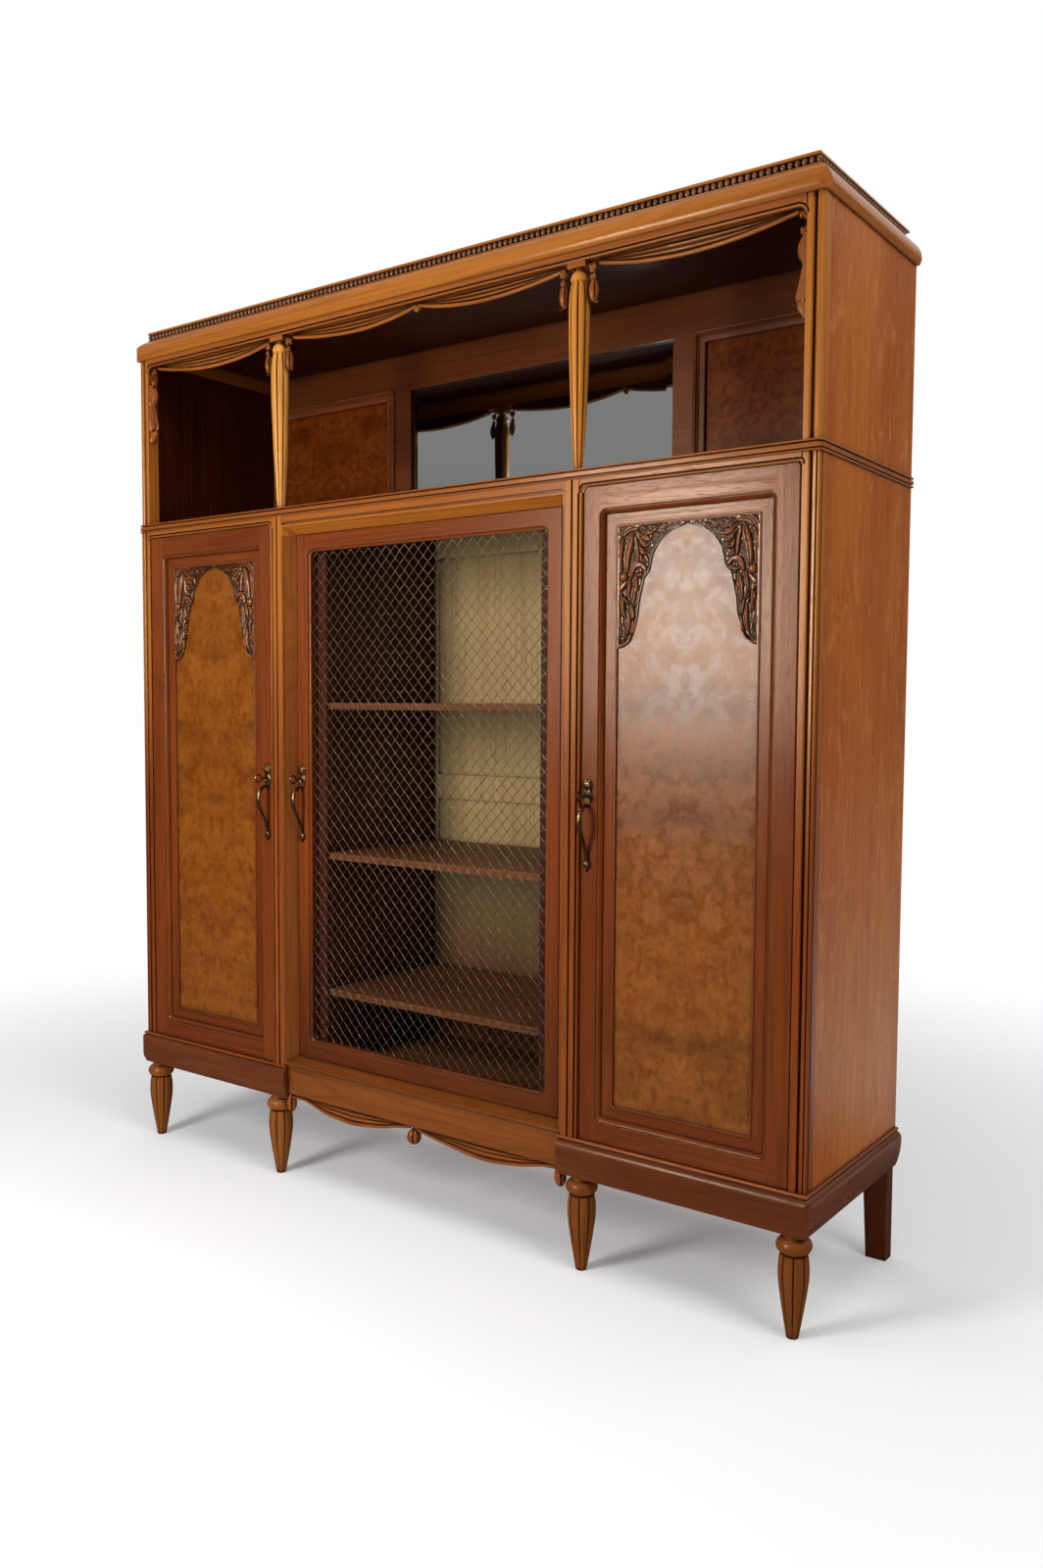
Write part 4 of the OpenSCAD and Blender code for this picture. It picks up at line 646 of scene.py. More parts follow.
def lathe(axis_x, axis_y, profile, lobes=0, groove=0.0, share=0.16, sides=32, belly=0.35):
    """Turn a profile of (z, radius) points. Lobes are rounded reeds with narrow grooves between them,
    groove deep at the widest part and taking their share of each reed's width."""
    angles = [(a, 0.0) for a in turns(sides)]
    if lobes:
        angles = [(2 * pi * (k + q / 2) / lobes, abs(q)) for k in range(lobes) for q in REED_SPOTS]
    widest = max(r for _, r in profile)
    rings = []
    for z, r in profile:
        ring = []
        for angle, q in angles:
            deep = groove * (0.35 + 0.65 * r / widest) if lobes else 0.0
            edge = max(0.0, (q - (1 - share)) / share)
            radius = r - deep * sin(edge * pi / 2) - deep * belly * q ** 2
            ring.append((axis_x + radius * sin(angle), axis_y - radius * cos(angle), z))
        rings.append(ring)
    return tube(rings)


def smooth_profile(points, count, foot=0.0):
    """A smooth curve through (height over the foot, radius) points."""
    points = [(foot + z, r) for z, r in points]
    return [curve(points, t) for t in steps(count)]


def ball(axis_x, axis_y, z, radius, radius_z=None, sides=20, count=11):
    """A ball, flattened or drawn out where radius_z differs."""
    high = radius_z or radius
    angles = [pi * t for t in steps(count)]
    profile = [(z - high * cos(a), max(0.2, radius * sin(a))) for a in angles]
    return lathe(axis_x, axis_y, profile, sides=sides)


def slab(x0, x1, y0, y1, z0, z1, ease):
    """A board with eased edges at its foot and top."""
    return tube([[(x0 + e, y1 - e, z), (x0 + e, y0 + e, z), (x1 - e, y0 + e, z), (x1 - e, y1 - e, z)]
                 for z, e in ((z0, ease), (z0 + ease, 0.0), (z1 - ease, 0.0), (z1, ease))])


COLUMN_X, COLUMN_Y, _ = centre("column_right")
COLUMN_FOOT, RAIL_UNDER_Z = [p.z for p in limits("column_right")]
LEG_TOP = limits("plinth_right")[0].z
LEG_OUTER_X = limits("front_legs")[1].x - 32
LEG_INNER_X = limits("mullion_right")[1].x - 3
LEG_Y = centre("front_legs").y


def make_columns():
    """Reeded columns that swell upwards, each under a domed button."""
    shaft = [(0, 8.4), (20, 10.4), (60, 12.9), (100, 15.2), (145, 17.2), (195, 19.0), (245, 20.4),
             (285, 21.0), (315, 20.4), (337, 17.8), (349, 15.6)]
    button = [(347, 12.5), (348.6, 15.6), (352.5, 17.4), (358, 16.9), (363.5, 14.4), (368, 10.5), (371, 7.4),
              (376, 6.4)]
    shape = lathe(COLUMN_X, COLUMN_Y, smooth_profile(shaft, 44, COLUMN_FOOT), lobes=8, groove=5.4, share=0.17,
                  belly=0.3)
    shape.join(lathe(COLUMN_X, COLUMN_Y, smooth_profile(button, 24, COLUMN_FOOT), sides=40))
    pair("column_%s_reeded", shape, "column", "carcass", ["column_%s"])


def make_legs():
    """Lobed legs that taper to a small foot under a thick rounded collar."""
    taper = smooth_profile([(0, 9.6), (2.5, 11.4), (30, 16.2), (62, 21.6), (95, 26.4), (116, 28.2),
                            (136, 27.6), (152, 25.2)], 34)
    shape = Shape()
    for x in (-LEG_OUTER_X, -LEG_INNER_X, LEG_INNER_X, LEG_OUTER_X):
        shape.join(lathe(x, LEG_Y, taper, lobes=8, groove=3.2),
                   ball(x, LEG_Y, LEG_TOP - 22.3, 32.0, 19.8, 40, 17),
                   lathe(x, LEG_Y, [(LEG_TOP - 12, 20.0), (LEG_TOP, 20.0)]))
    piece("front_legs_lobed", shape, "leg", "carcass", ["front_legs"])


# Mouldings carried round a frame

CORNERS = (1, 1), (-1, 1), (-1, -1), (1, -1)


def ring(x, y, z, w, h, r, section):
    """A closed section of (outward, forward) points carried round a rounded rectangle; outward 0 is
    its outline."""
    rows = []
    for k, (sx, sz) in enumerate(CORNERS):
        for t in steps(8):
            angle = pi / 2 * (k + t)
            rows.append([(x + sx * (w / 2 - r) + cos(angle) * (r + out), y - forward,
                          z + sz * (h / 2 - r) + sin(angle) * (r + out)) for out, forward in section])
    return loop(rows)


def square_ring(x, y, z, w, h, section):
    """A mitred moulding round a rectangle with square corners."""
    return loop([[(x + sx * (w / 2 + out), y - forward, z + sz * (h / 2 + out)) for out, forward in section]
                 for sx, sz in CORNERS])


def arc(cx, cy, r, start, end, count=7):
    """Points on an arc, angles in degrees."""
    angles = [radians(mix(start, end, t)) for t in steps(count)]
    return [(cx + r * cos(a), cy + r * sin(a)) for a in angles]


def run(plan, z0, z1, x0=0.0, y0=0.0):
    """A moulding that runs straight up between two heights, from a plan drawn about (x0, y0)."""
    return tube([[(x0 + x, y0 + y, z) for x, y in plan] for z in (z0, z1)])


def plate(outline, y0, y1):
    """A flat board from an outline of (x, z) points."""
    return tube([[(x, y, z) for x, z in outline] for y in (y0, y1)])


def sweep(path, section, y=0.0):
    """A closed section of (sideways, forward) points along an open path of (x, z) points."""
    rings = []
    for i, (x, z) in enumerate(path):
        (ax, az), (bx, bz) = path[max(0, i - 1)], path[min(len(path) - 1, i + 1)]
        size = hypot(bx - ax, bz - az)
        nx, nz = -(bz - az) / size, (bx - ax) / size
        rings.append([(x + nx * a, y - b, z + nz * a) for a, b in section])
    return tube(rings)


def half_round(r, back):
    return arc(0, 0, r, 0, 180, 9) + [(-r, -back), (r, -back)]


# Posts, mullions, waist and crest

HALF_W = limits("side_right")[1].x
(POST_X, _, CASE_Z), (_, _, CORNICE_Z) = limits("corner_post_right")
(_, _, WAIST_LOW), (_, CASE_BACK, WAIST_Z) = limits("waist_board")


def make_posts():
    """Corner posts: a flat, a rounded edge, a deep groove, a reed and the quirked corner beads."""
    lower = [(0, 30), (0, 0.5), (0.5, 0), (9.6, 0)] + arc(10.6, 3.2, 3.2, 270, 360)
    lower += [(14.0, 7.0), (17.6, 7.0)] + arc(21.2, 3.4, 3.4, 180, 270)
    lower += [(24.6, 0.0), (25.4, 0.9), (25.7, 5.0), (26.8, 5.0)] + arc(29.3, 2.5, 2.5, 180, 395, 11)
    lower += [(28.0, 4.6)] + arc(29.3, 7.4, 2.7, -80, 80, 9)
    lower += [(28.0, 10.5), (28.0, 12.2), (32, 12.4), (32, 30)]
    upper = [(0, 30), (0, 0.5), (0.5, 0), (7.6, 0)] + arc(8.2, 5.4, 5.4, 270, 360)
    upper += [(13.7, 9.0), (16.9, 9.0)] + arc(24.4, 7.5, 7.5, 180, 360, 15) + [(32, 30)]
    shape = run(lower, CASE_Z, WAIST_LOW, POST_X).join(run(upper, WAIST_Z, CORNICE_Z, POST_X))
    pair("corner_post_%s_moulded", shape, "post", "carcass", ["corner_post_%s"])


# How far a bolt goes out, and where the mullions' rounded lips stop
THROW = 8.0
LIP_Z = 1510.0


def make_mullions():
    """Mullions: two flat strips with deep grooves, a bead and a hollow, and a pocket for the bolt."""
    (x, front, _), (_, back, rail_z) = limits("mullion_right")
    bolt_low, bolt_high = limits("door_right_bolt")
    deep = back - front
    pocket = bolt_low.x - THROW - 1.5 - x
    y0, y1 = bolt_low.y - 1 - front, bolt_high.y + 1 - front
    z0, z1 = bolt_low.z - 1, bolt_high.z + 1
    strips = [(0, deep), (0, 0.4), (0.4, 0), (12.6, 0), (13.6, 0.9), (13.8, 6.0), (17.0, 6.0), (17.2, 0.9),
              (18.2, 0)]
    edge = [(27.8, 0), (28.8, 0.8), (29.0, 6.0), (31.9, 6.0)] + arc(34.6, 2.7, 2.5, 180, 360)
    edge += [(37.2, 7.5), (38.4, 7.5)] + arc(40, 7.0, 1.6, 180, 90, 4)
    flush = [(31.0, 0), (31.4, 0.5), (31.4, 0.5 - front), (40, 0.5 - front)]
    notch = [(40, y0), (pocket, y0), (pocket, y1), (40, y1)]
    shape = Shape()
    for middle, low, high in ((edge, CASE_Z, z0), (edge + notch, z0, z1), (edge, z1, LIP_Z),
                              (flush, LIP_Z, rail_z)):
        shape.join(run(strips + middle + [(40, deep)], low, high, x, front))
    pair("mullion_%s_moulded", shape, "mullion", "carcass", ["mullion_%s"])


def plan_ring(out, z, r):
    """The carcass's plan at a height, out beyond the posts' faces, with rounded front corners."""
    left = [(-HALF_W - out, CASE_BACK)]
    left += [(r - HALF_W - (r + out) * cos(pi / 2 * t), r - (r + out) * sin(pi / 2 * t)) for t in steps(6)]
    return [(px, py, z) for px, py in left] + [(-px, py, z) for px, py in reversed(left)]


def make_waist():
    """Waist board: a flat between two quirked beads along its edge."""
    section = [(2.0, 0.0)] + arc(3.3, 1.7, 1.7, -90, 90) + [(-2.5, 3.6), (-2.5, 5.6), (3.9, 5.7), (4.4, 6.2)]
    section += [(4.4, 13.0), (3.9, 13.6), (-2.5, 13.7), (-2.5, 16.0)] + arc(3.1, 18.1, 1.9, -90, 90)
    shape = tube([plan_ring(out, WAIST_LOW + z, 6.0) for out, z in section + [(1.8, 20.0)]])
    piece("waist_board_moulded", shape, "waist", "carcass", ["waist_board"])


CREST_Z = limits("crest_rail")[0].z
BEAD_PITCH = 13.0
BEAD_IN = 19.8


def round_crest(section, short=0.0):
    """A section of (outward, up) points carried along the left return, the front and the right return."""
    rings = []
    for sx, at_back in ((-1, True), (-1, False), (1, False), (1, True)):
        rings.append([(sx * (HALF_W + out), CASE_BACK - short if at_back else -out, CREST_Z + z)
                      for out, z in section])
    return tube(rings)


def make_crest():
    """Crest rail with its string of oval beads in a deep channel, open at the back."""
    section = [(-15.0, 0), (-14.6, 2.2), (-15.4, 2.7), (-27, 2.7), (-27, 16.6), (-16.2, 16.6), (-15.2, 17.3),
               (-15.4, 20.4), (-17, 22.6), (-18.4, 23), (-35, 23), (-35, 0)]
    piece("crest_rail_moulded", round_crest(section), "crest", "carcass", ["crest_rail"])
    # A very dark strip at the back of the channel: painted shade
    shade_lining = round_crest([(-26.0, 2.8), (-26.0, 16.5), (-27.4, 16.5), (-27.4, 2.8)], 0.3)
    piece("crest_lining", shade_lining, "groove", "carcass")
    x1 = HALF_W - BEAD_IN
    count = round(2 * x1 / BEAD_PITCH)
    spots = [(-x1 + 2 * x1 * i / count, BEAD_IN) for i in range(count + 1)]
    deep = int((CASE_BACK - BEAD_IN - 6) / BEAD_PITCH)
    spots += [(sx * x1, BEAD_IN + BEAD_PITCH * k) for k in range(1, deep) for sx in (-1, 1)]
    beads = Shape()
    for bx, by in spots:
        beads.join(ball(bx, by, CREST_Z + 9.7, 5.2, 6.9, 12, 9))
    piece("crest_beads", beads, "bead", "carcass", ["bead_strings"])


# Lips round the openings

BAY_LIP_X = 424.4, 868.7
BAY_LIP_Z = 1523.3
CENTRE_LIP_X = 387.5
CENTRE_LIP_Z = 1518.0
NICHE_LIP_X = 867.6
NICHE_LIP_Z = 1942.3


def lip_path(x0, x1, z, r0, r1, drop0=0.0, drop1=0.0):
    """A path that rises, turns a rounded corner, runs level and turns down again."""
    path = [(x0, z - r0 - drop0)] if drop0 else []
    path += arc(x0 + r0, z - r0, r0, 180, 90, 9) + arc(x1 - r1, z - r1, r1, 90, 0, 9)
    return path + ([(x1, z - r1 - drop1)] if drop1 else [])


def head_flat(x0, x1, z, r0, r1, top, gap=4.7):
    """The flat over a lip, its lower corners drawn down to points."""
    outline = [(x0, top), (x0, z - r0 + sqrt(max(0.0, (r0 + gap) ** 2 - r0 ** 2)))]
    for cx, r, a0, a1 in ((x0 + r0, r0, 180, 90), (x1 - r1, r1, 90, 0)):
        outline += [(px, pz) for px, pz in arc(cx, z - r, r + gap, a0, a1, 13) if x0 < px < x1]
    outline += [(x1, z - r1 + sqrt(max(0.0, (r1 + gap) ** 2 - r1 ** 2))), (x1, top)]
    return outline


# Section of the very dark strip in each quirk, a painted shade
QUIRK = [(1.6, -0.6), (1.6, 0.7), (4.9, 0.7), (4.9, -0.6)]


def make_lips():
    """Quirked beads that turn rounded corners over the doors and the niche, with the flats above them."""
    # Very dark strips in the quirks beside the beads: painted shade
    grooves = Shape()
    path = lip_path(*BAY_LIP_X, BAY_LIP_Z, 11, 4.5, 1.5, 3.0)
    side = sweep(path, half_round(2.2, 1.0), 0.4)
    side.join(plate(head_flat(421.8, 867.8, BAY_LIP_Z, 13.6, 4.2, WAIST_LOW), -2.6, 0.3))
    grooves.join(sweep(path, QUIRK, 0.4))
    grooves.join(grooves.mirrored())
    pair("bay_lip_%s", side, "level", "carcass")
    path = lip_path(-CENTRE_LIP_X, CENTRE_LIP_X, CENTRE_LIP_Z, 9, 9)
    middle = sweep(path, half_round(1.7, 1.0), 3.2)
    middle.join(plate(head_flat(-389.5, 389.5, CENTRE_LIP_Z, 11, 11, WAIST_LOW, 3.6), -3.2, 0.3))
    grooves.join(sweep(path, QUIRK, 1.0))
    piece("bay_lip_centre", middle, "level", "carcass")
    path = lip_path(-NICHE_LIP_X, NICHE_LIP_X, NICHE_LIP_Z, 15, 15)
    niche = sweep(path, half_round(2.3, 1.2), 0.6)
    niche.join(plate(head_flat(-867.8, 867.8, NICHE_LIP_Z, 15.2, 15.2, CORNICE_Z + 0.3), -2.4, 0.3))
    grooves.join(sweep(path, QUIRK, 0.4))
    for way in (-1, 1):
        niche.join(slab(way * COLUMN_X - 20, way * COLUMN_X + 20, 0.2, 24, 1930, NICHE_LIP_Z, 0.6))
    piece("niche_lip", niche, "level", "carcass")
    piece("lip_grooves", grooves, "groove", "carcass")


# Side doors

DOOR_MID_X, _, DOOR_MID_Z = centre("door_right_moulding")
DOOR_OPEN_W, _, DOOR_OPEN_H = [b - a for a, b in zip(*limits("door_right_moulding"))]
DOOR_FACE = limits("door_right_frame")[0].y
SUNK_W = 12.0
SUNK_R = 15.0
BAND_W = 24.0
BAND_DEPTH = 10.6
PANEL_DEPTH = 13.6
BURL_W = DOOR_OPEN_W - 2 * (SUNK_W + BAND_W)
BURL_H = DOOR_OPEN_H - 2 * (SUNK_W + BAND_W)
BURL_TOP = DOOR_MID_Z + BURL_H / 2
SIDE_U = BURL_W / 2 - 0.4
CROWN_Z = BURL_TOP - 5
ARCH_H = 222.0

# The arch's edge: distance from the middle and height
ARCH = [(0, 1438), (33, 1428), (54, 1413.5), (70, 1390), (76.5, 1362), (79, 1355.5), (88, 1346), (95, 1318),
        (99, 1300), (101.6, 1275), (110, 1245), (118, 1228), (136, 1217.5), (144, 1216)]


def arch_edge(z):
    """How far the carving's inner edge lies from the middle at height z."""
    if z >= ARCH[0][1]:
        return 1.5
    for (u0, z0), (u1, z1) in zip(ARCH, ARCH[1:]):
        if z >= z1:
            return max(1.5, mix(u0, u1, (z0 - z) / (z0 - z1)))
    return ARCH[-1][0]


class Carving:
    """Heights over a grid of points, built up from strokes of the gouge."""

    def __init__(self, across, up, ground):
        self.across = np.array(across)
        self.up = np.array(up)
        self.ground = ground
        self.height = np.full(self.across.shape, ground)

    def reach(self, points, count=22):
        """For each grid point the nearest place along a curve, and the signed distance from it."""
        line = [curve(points, t) for t in steps(count)]
        best = np.full(self.across.shape, 1e9)
        along = np.zeros(self.across.shape)
        side = np.zeros(self.across.shape)
        for i, (a, b) in enumerate(zip(line, line[1:])):
            dx, dz = b[0] - a[0], b[1] - a[1]
            long2 = dx * dx + dz * dz + 1e-9
            t = np.clip(((self.across - a[0]) * dx + (self.up - a[1]) * dz) / long2, 0, 1)
            px, pz = self.across - a[0] - t * dx, self.up - a[1] - t * dz
            far = np.hypot(px, pz)
            nearer = far < best
            best = np.where(nearer, far, best)
            along = np.where(nearer, (i + t) / (count - 1), along)
            side = np.where(nearer, np.sign(px * dz - pz * dx), side)
        return best, along, side

    def stroke(self, points, half, height, vein=0.0, lobes=0, tip=0.12, base=0.45):
        """A leaf or stem: half wide at its widest, drawn to a tip, with a vein and lobed edges."""
        far, along, side = self.reach(points)
        swell = np.where(along < 0.4, base + (1 - base) * np.sin(along / 0.4 * pi / 2),
                         tip + (1 - tip) * np.cos((along - 0.4) / 0.6 * pi / 2) ** 0.8)
        if lobes:
            swell = swell * (1 + 0.22 * np.sin(along * lobes * 2 * pi + side))
        q = far / (half * swell + 1e-6)
        round_off = np.sqrt(np.clip(1 - q ** 2, 0, 1))
        rise = height * (0.62 + 0.38 * np.sin(pi * np.clip(along * 1.1, 0, 1)))
        leaf = rise * round_off ** 0.8
        if vein:
            leaf = leaf - rise * vein * np.exp(-(q / 0.2) ** 2)
        if lobes:
            leaf = leaf * (1 - 0.16 * np.cos(along * lobes * 2 * pi + side) * q)
        cut = (q >= 1) & (far < half * swell + 1.3)
        self.height = np.where(q < 1, np.maximum(leaf + self.ground * 0.4, self.ground),
                               np.where(cut, self.ground * 0.5, self.height))

    def ribs(self, points, half, height, count):
        """A band of parallel ribs along a curve."""
        far, along, side = self.reach(points)
        q = side * far / half
        fine = np.abs(np.sin((q + 1) / 2 * pi * count)) ** 0.6
        inside_band = np.abs(q) < 1
        self.height = np.where(inside_band, height * (0.35 + 0.65 * fine), self.height)

    def fruit(self, u, z, radius, height):
        far = np.hypot(self.across - u, self.up - z) / radius
        dome = height * np.sqrt(np.clip(1 - far ** 2, 0, 1)) + self.ground
        ring_cut = (far >= 1) & (far < 1 + 1.2 / radius)
        self.height = np.where(far < 1, dome, np.where(ring_cut, self.ground * 0.4, self.height))


def carve_spandrel():
    """The right half of the carving over the burl panel, with the leaves laid out about the arch."""
    rows_up = [BURL_TOP - 0.4, CROWN_Z + 2.5] + [CROWN_Z + 1 - (ARCH_H - 1) * s ** 1.5 for s in steps(150)]
    columns = steps(84)
    across = [[mix(arch_edge(z), SIDE_U, v) for v in columns] for z in rows_up]
    up = [[z for _ in columns] for z in rows_up]
    work = Carving(across, up, 1.0)
    leaf = work.stroke
    ripple = np.sin(work.across * 0.9 + work.up * 0.4) * np.sin(work.up * 0.75 - work.across * 0.35)
    work.height += 0.8 * ripple
    # Leaves behind the others, which fill the ground
    leaf([(88, 1441), (60, 1438), (40, 1433), (20, 1437)], 5.5, 2.4, 0.5, 5)
    leaf([(112, 1436), (92, 1424), (78, 1412), (70, 1400)], 9.0, 2.8, 0.5, 3)
    leaf([(112, 1426), (99, 1404), (88, 1384), (80, 1366)], 9.0, 3.0, 0.5, 4)
    leaf([(98, 1372), (98, 1352), (102, 1326), (104, 1296)], 8.0, 2.8, 0.5, 4)
    leaf([(134, 1376), (138, 1350), (141, 1326), (140, 1300)], 7.0, 2.6, 0.5, 3)
    leaf([(124, 1330), (120, 1300), (114, 1274), (114, 1250)], 7.5, 2.8, 0.5, 4)
    leaf([(139, 1300), (138, 1274), (133, 1252), (128, 1234)], 7.0, 2.8, 0.5, 3)
    leaf([(110, 1262), (114, 1246), (124, 1232), (139, 1222)], 6.0, 2.6, 0.5, 2)
    # Sweeping ribs round the outer top corner
    work.ribs([(86, 1441), (114, 1439.5), (131, 1432), (138.5, 1416), (142, 1394), (143, 1366)], 7.6, 4.8, 3)
    # Leaves that run towards the crown
    leaf([(86, 1440), (70, 1437), (52, 1434), (34, 1434)], 3.8, 3.6, 0.4, 4)
    leaf([(66, 1428), (54, 1428), (44, 1427), (36, 1429.5)], 3.4, 4.2, 0.4, 2)
    leaf([(60, 1439), (46, 1438), (28, 1436), (12, 1438.5)], 2.4, 3.2, 0.3, 3)
    leaf([(98, 1434), (88, 1428), (76, 1427), (62, 1432)], 5.4, 5.4, 0.45, 2)
    leaf([(100, 1428), (92, 1420), (80, 1416), (69, 1419)], 5.6, 6.0, 0.45, 2)
    leaf([(100, 1420), (94, 1410), (84, 1404), (75, 1406)], 5.0, 6.2, 0.4, 2)
    leaf([(102, 1412), (97, 1400), (90, 1392), (78, 1390)], 5.2, 6.4, 0.4, 2)
    leaf([(104, 1404), (100, 1390), (94, 1380), (84, 1374)], 4.8, 6.0, 0.35, 2)
    # The two long leaves and the stem beside them
    leaf([(109, 1428), (103, 1404), (101, 1384), (98, 1364)], 4.2, 5.4, 0.3, base=0.3)
    leaf([(133, 1421), (138, 1398), (139.5, 1376), (137, 1356)], 5.2, 6.2, 0.35, base=0.3, tip=0.5)
    leaf([(113, 1430), (118, 1408), (124, 1384), (126, 1356)], 8.0, 7.4, 0.5, base=0.25, tip=0.45)
    # Leaf that curls over at the notch
    leaf([(84, 1360), (92, 1368), (104, 1368), (112, 1358), (115, 1344)], 5.0, 7.2, 0.25, tip=0.3)
    leaf([(92, 1352), (99, 1350), (104, 1342), (105, 1330)], 4.4, 5.2, 0.4)
    # Leaves under the fruit and the stem that crosses them
    leaf([(104, 1344), (106, 1328), (110, 1312), (108, 1292)], 6.4, 5.2, 0.5, 3)
    leaf([(118, 1346), (119, 1334), (121, 1320), (117, 1302)], 5.2, 5.0, 0.45, 2)
    leaf([(124, 1340), (132, 1332), (139, 1324), (142, 1312)], 4.6, 6.4, 0.2, tip=0.4)
    leaf([(142, 1324), (134, 1314), (124, 1304), (113, 1292)], 2.2, 6.8, tip=0.5)
    work.fruit(131, 1348.5, 8.6, 7.2)
    # Narrow leaves of the lower part
    leaf([(130, 1312), (134, 1300), (133, 1286), (127, 1274)], 5.6, 6.6, 0.45, tip=0.25)
    leaf([(116, 1298), (112, 1284), (111, 1270), (116, 1256)], 4.6, 5.4, 0.4)
    leaf([(139, 1296), (141, 1280), (139, 1262), (133, 1248)], 4.2, 5.8, 0.3)
    leaf([(121, 1286), (119, 1268), (121, 1250), (128, 1234)], 5.0, 6.4, 0.4)
    leaf([(110, 1268), (112, 1252), (118, 1236), (130, 1226)], 3.4, 5.2, 0.3)
    # Tail that curls round at the foot
    leaf([(113, 1242), (121, 1228), (134, 1221), (141, 1226), (141, 1238), (135, 1242)], 3.2, 6.6, tip=0.5,
         base=0.6)
    # A thin raised edge along the arch
    edge = work.across - np.array([[arch_edge(z)] for z in rows_up])
    work.height = np.where(edge < 1.4, np.maximum(work.height, 3.4), work.height)
    work.height = np.where(work.across > SIDE_U - 2.6, 3.6, work.height)
    shape = Shape()
    face_y = DOOR_FACE + PANEL_DEPTH
    shape.relief([[(DOOR_MID_X + u, face_y - h, z) for u, z, h in zip(*row)]
                  for row in zip(work.across.tolist(), work.up.tolist(), work.height.tolist())], face_y + 0.3)
    return shape


def make_side_doors():
    """Sunk moulding, band, fillet and the two carvings of each side door."""
    sunk = [(0, -PANEL_DEPTH), (0, -0.8), (-0.5, -0.1), (-1.2, -0.1), (-1.6, -0.9), (-1.7, -3.4),
            (-3.0, -3.4), (-3.1, -1.6), (-5.0, -2.6), (-7.2, -4.7), (-9.0, -7.3),
            (-10.1, -10.0), (-10.2, -12.8), (-SUNK_W - 0.4, -12.8), (-SUNK_W - 0.4, -PANEL_DEPTH)]
    frame_shape = ring(DOOR_MID_X, DOOR_FACE, DOOR_MID_Z, DOOR_OPEN_W, DOOR_OPEN_H, SUNK_R, sunk)
    band = [(BAND_W + 0.3, -PANEL_DEPTH), (BAND_W + 0.3, -BAND_DEPTH), (4.0, -BAND_DEPTH), (3.8, -9.6),
            (3.2, -9.0), (2.0, -8.7), (0.8, -9.0), (0.2, -9.8), (0, -PANEL_DEPTH)]
    frame_shape.join(square_ring(DOOR_MID_X, DOOR_FACE, DOOR_MID_Z, BURL_W, BURL_H, band))
    pair("door_%s_sunk_frame", frame_shape, "sunk_frame", "door_%s", ["door_%s_moulding"])
    half = carve_spandrel()
    other = half.moved(-DOOR_MID_X).mirrored().moved(DOOR_MID_X)
    pair("door_%s_carving", half.join(other), "carving", "door_%s", ["door_%s_moulding"])


# Centre door

GRILLE_MARGIN = 4.0
DIAMOND_W = 26.5
DIAMOND_H = 28.0
WIRE_R = 0.72
WEAVE = 0.8


def make_wire_net():
    """Two families of woven wires that cross in diamonds."""
    shape = Shape()
    (_, _, z0), (half_w, _, z1) = limits("door_centre_grille")
    _, mid_y, mid_z = centre("door_centre_grille")
    half_w -= GRILLE_MARGIN
    half_h = (z1 - z0) / 2 - GRILLE_MARGIN
    slope = DIAMOND_H / DIAMOND_W
    count = int((half_h + half_w * slope) / DIAMOND_H) + 1
    stride = DIAMOND_W / 4
    columns = int(half_w / stride)
    for way in (1, -1):
        for i in range(-count, count + 1):
            rings = []
            for k in range(-columns, columns + 1):
                x = k * stride
                z = way * slope * x + i * DIAMOND_H
                if abs(z) > half_h:
                    continue
                y = mid_y + way * WEAVE * cos(2 * pi * x / DIAMOND_W)
                rings.append([(x - way * WIRE_R * 0.73 * sin(a), y - WIRE_R * cos(a),
                               mid_z + z + WIRE_R * 0.69 * sin(a)) for a in turns(5)])
            if len(rings) > 1:
                shape.join(tube(rings))
    piece("door_centre_wire_net", shape, "wire", "door_centre", ["door_centre_grille"], 80)


# Drapery

FOLDS = 3
SWAG_END = 0.07


def swag(lower, top_z, back_y, thick=12, roll=3.8):
    """Hanging cloth between two ends: folds along it and a rolled lower edge, thin at both ends."""
    rings = []
    for s in steps(72):
        x, z_low = curve(lower, s)
        full = min(1.0, s / SWAG_END, (1 - s) / SWAG_END) ** 0.5
        z_top = mix(z_low + 2.4 * roll, top_z, full)
        ring_points = []
        for v in steps(7 * FOLDS):
            wave = abs(sin(pi * (FOLDS * v ** 0.9 + 0.3 * sin(2 * s + v)))) ** 0.7
            deep = thick * (0.2 + 0.62 * wave * (0.45 + 0.55 * sin(pi * s))) * mix(0.6, 1.0, full)
            ring_points.append((x, back_y - deep - 1.2 * v, mix(z_top, z_low + 1.7 * roll, v)))
        for angle in range(130, 341, 35):
            a = radians(angle)
            ring_points.append((x, back_y - thick * 0.78 + roll * cos(a) * 0.9, z_low + roll + roll * sin(a)))
        ring_points += [(x, back_y, z_low + roll), (x, back_y, z_top)]
        rings.append(ring_points)
    return tube(rings)


def bud(x, y, z_top, z_low, radius, lobes):
    """A lobed bud that hangs between two heights."""
    tall = z_top - z_low
    profile = smooth_profile([(z_low, radius * 0.3), (z_low + tall * 0.1, radius * 0.66),
                              (z_low + tall * 0.36, radius), (z_low + tall * 0.66, radius * 0.98),
                              (z_low + tall * 0.9, radius * 0.72), (z_top, radius * 0.5)], 18)
    return lathe(x, y, profile, lobes=lobes, groove=radius * 0.34, share=0.3)


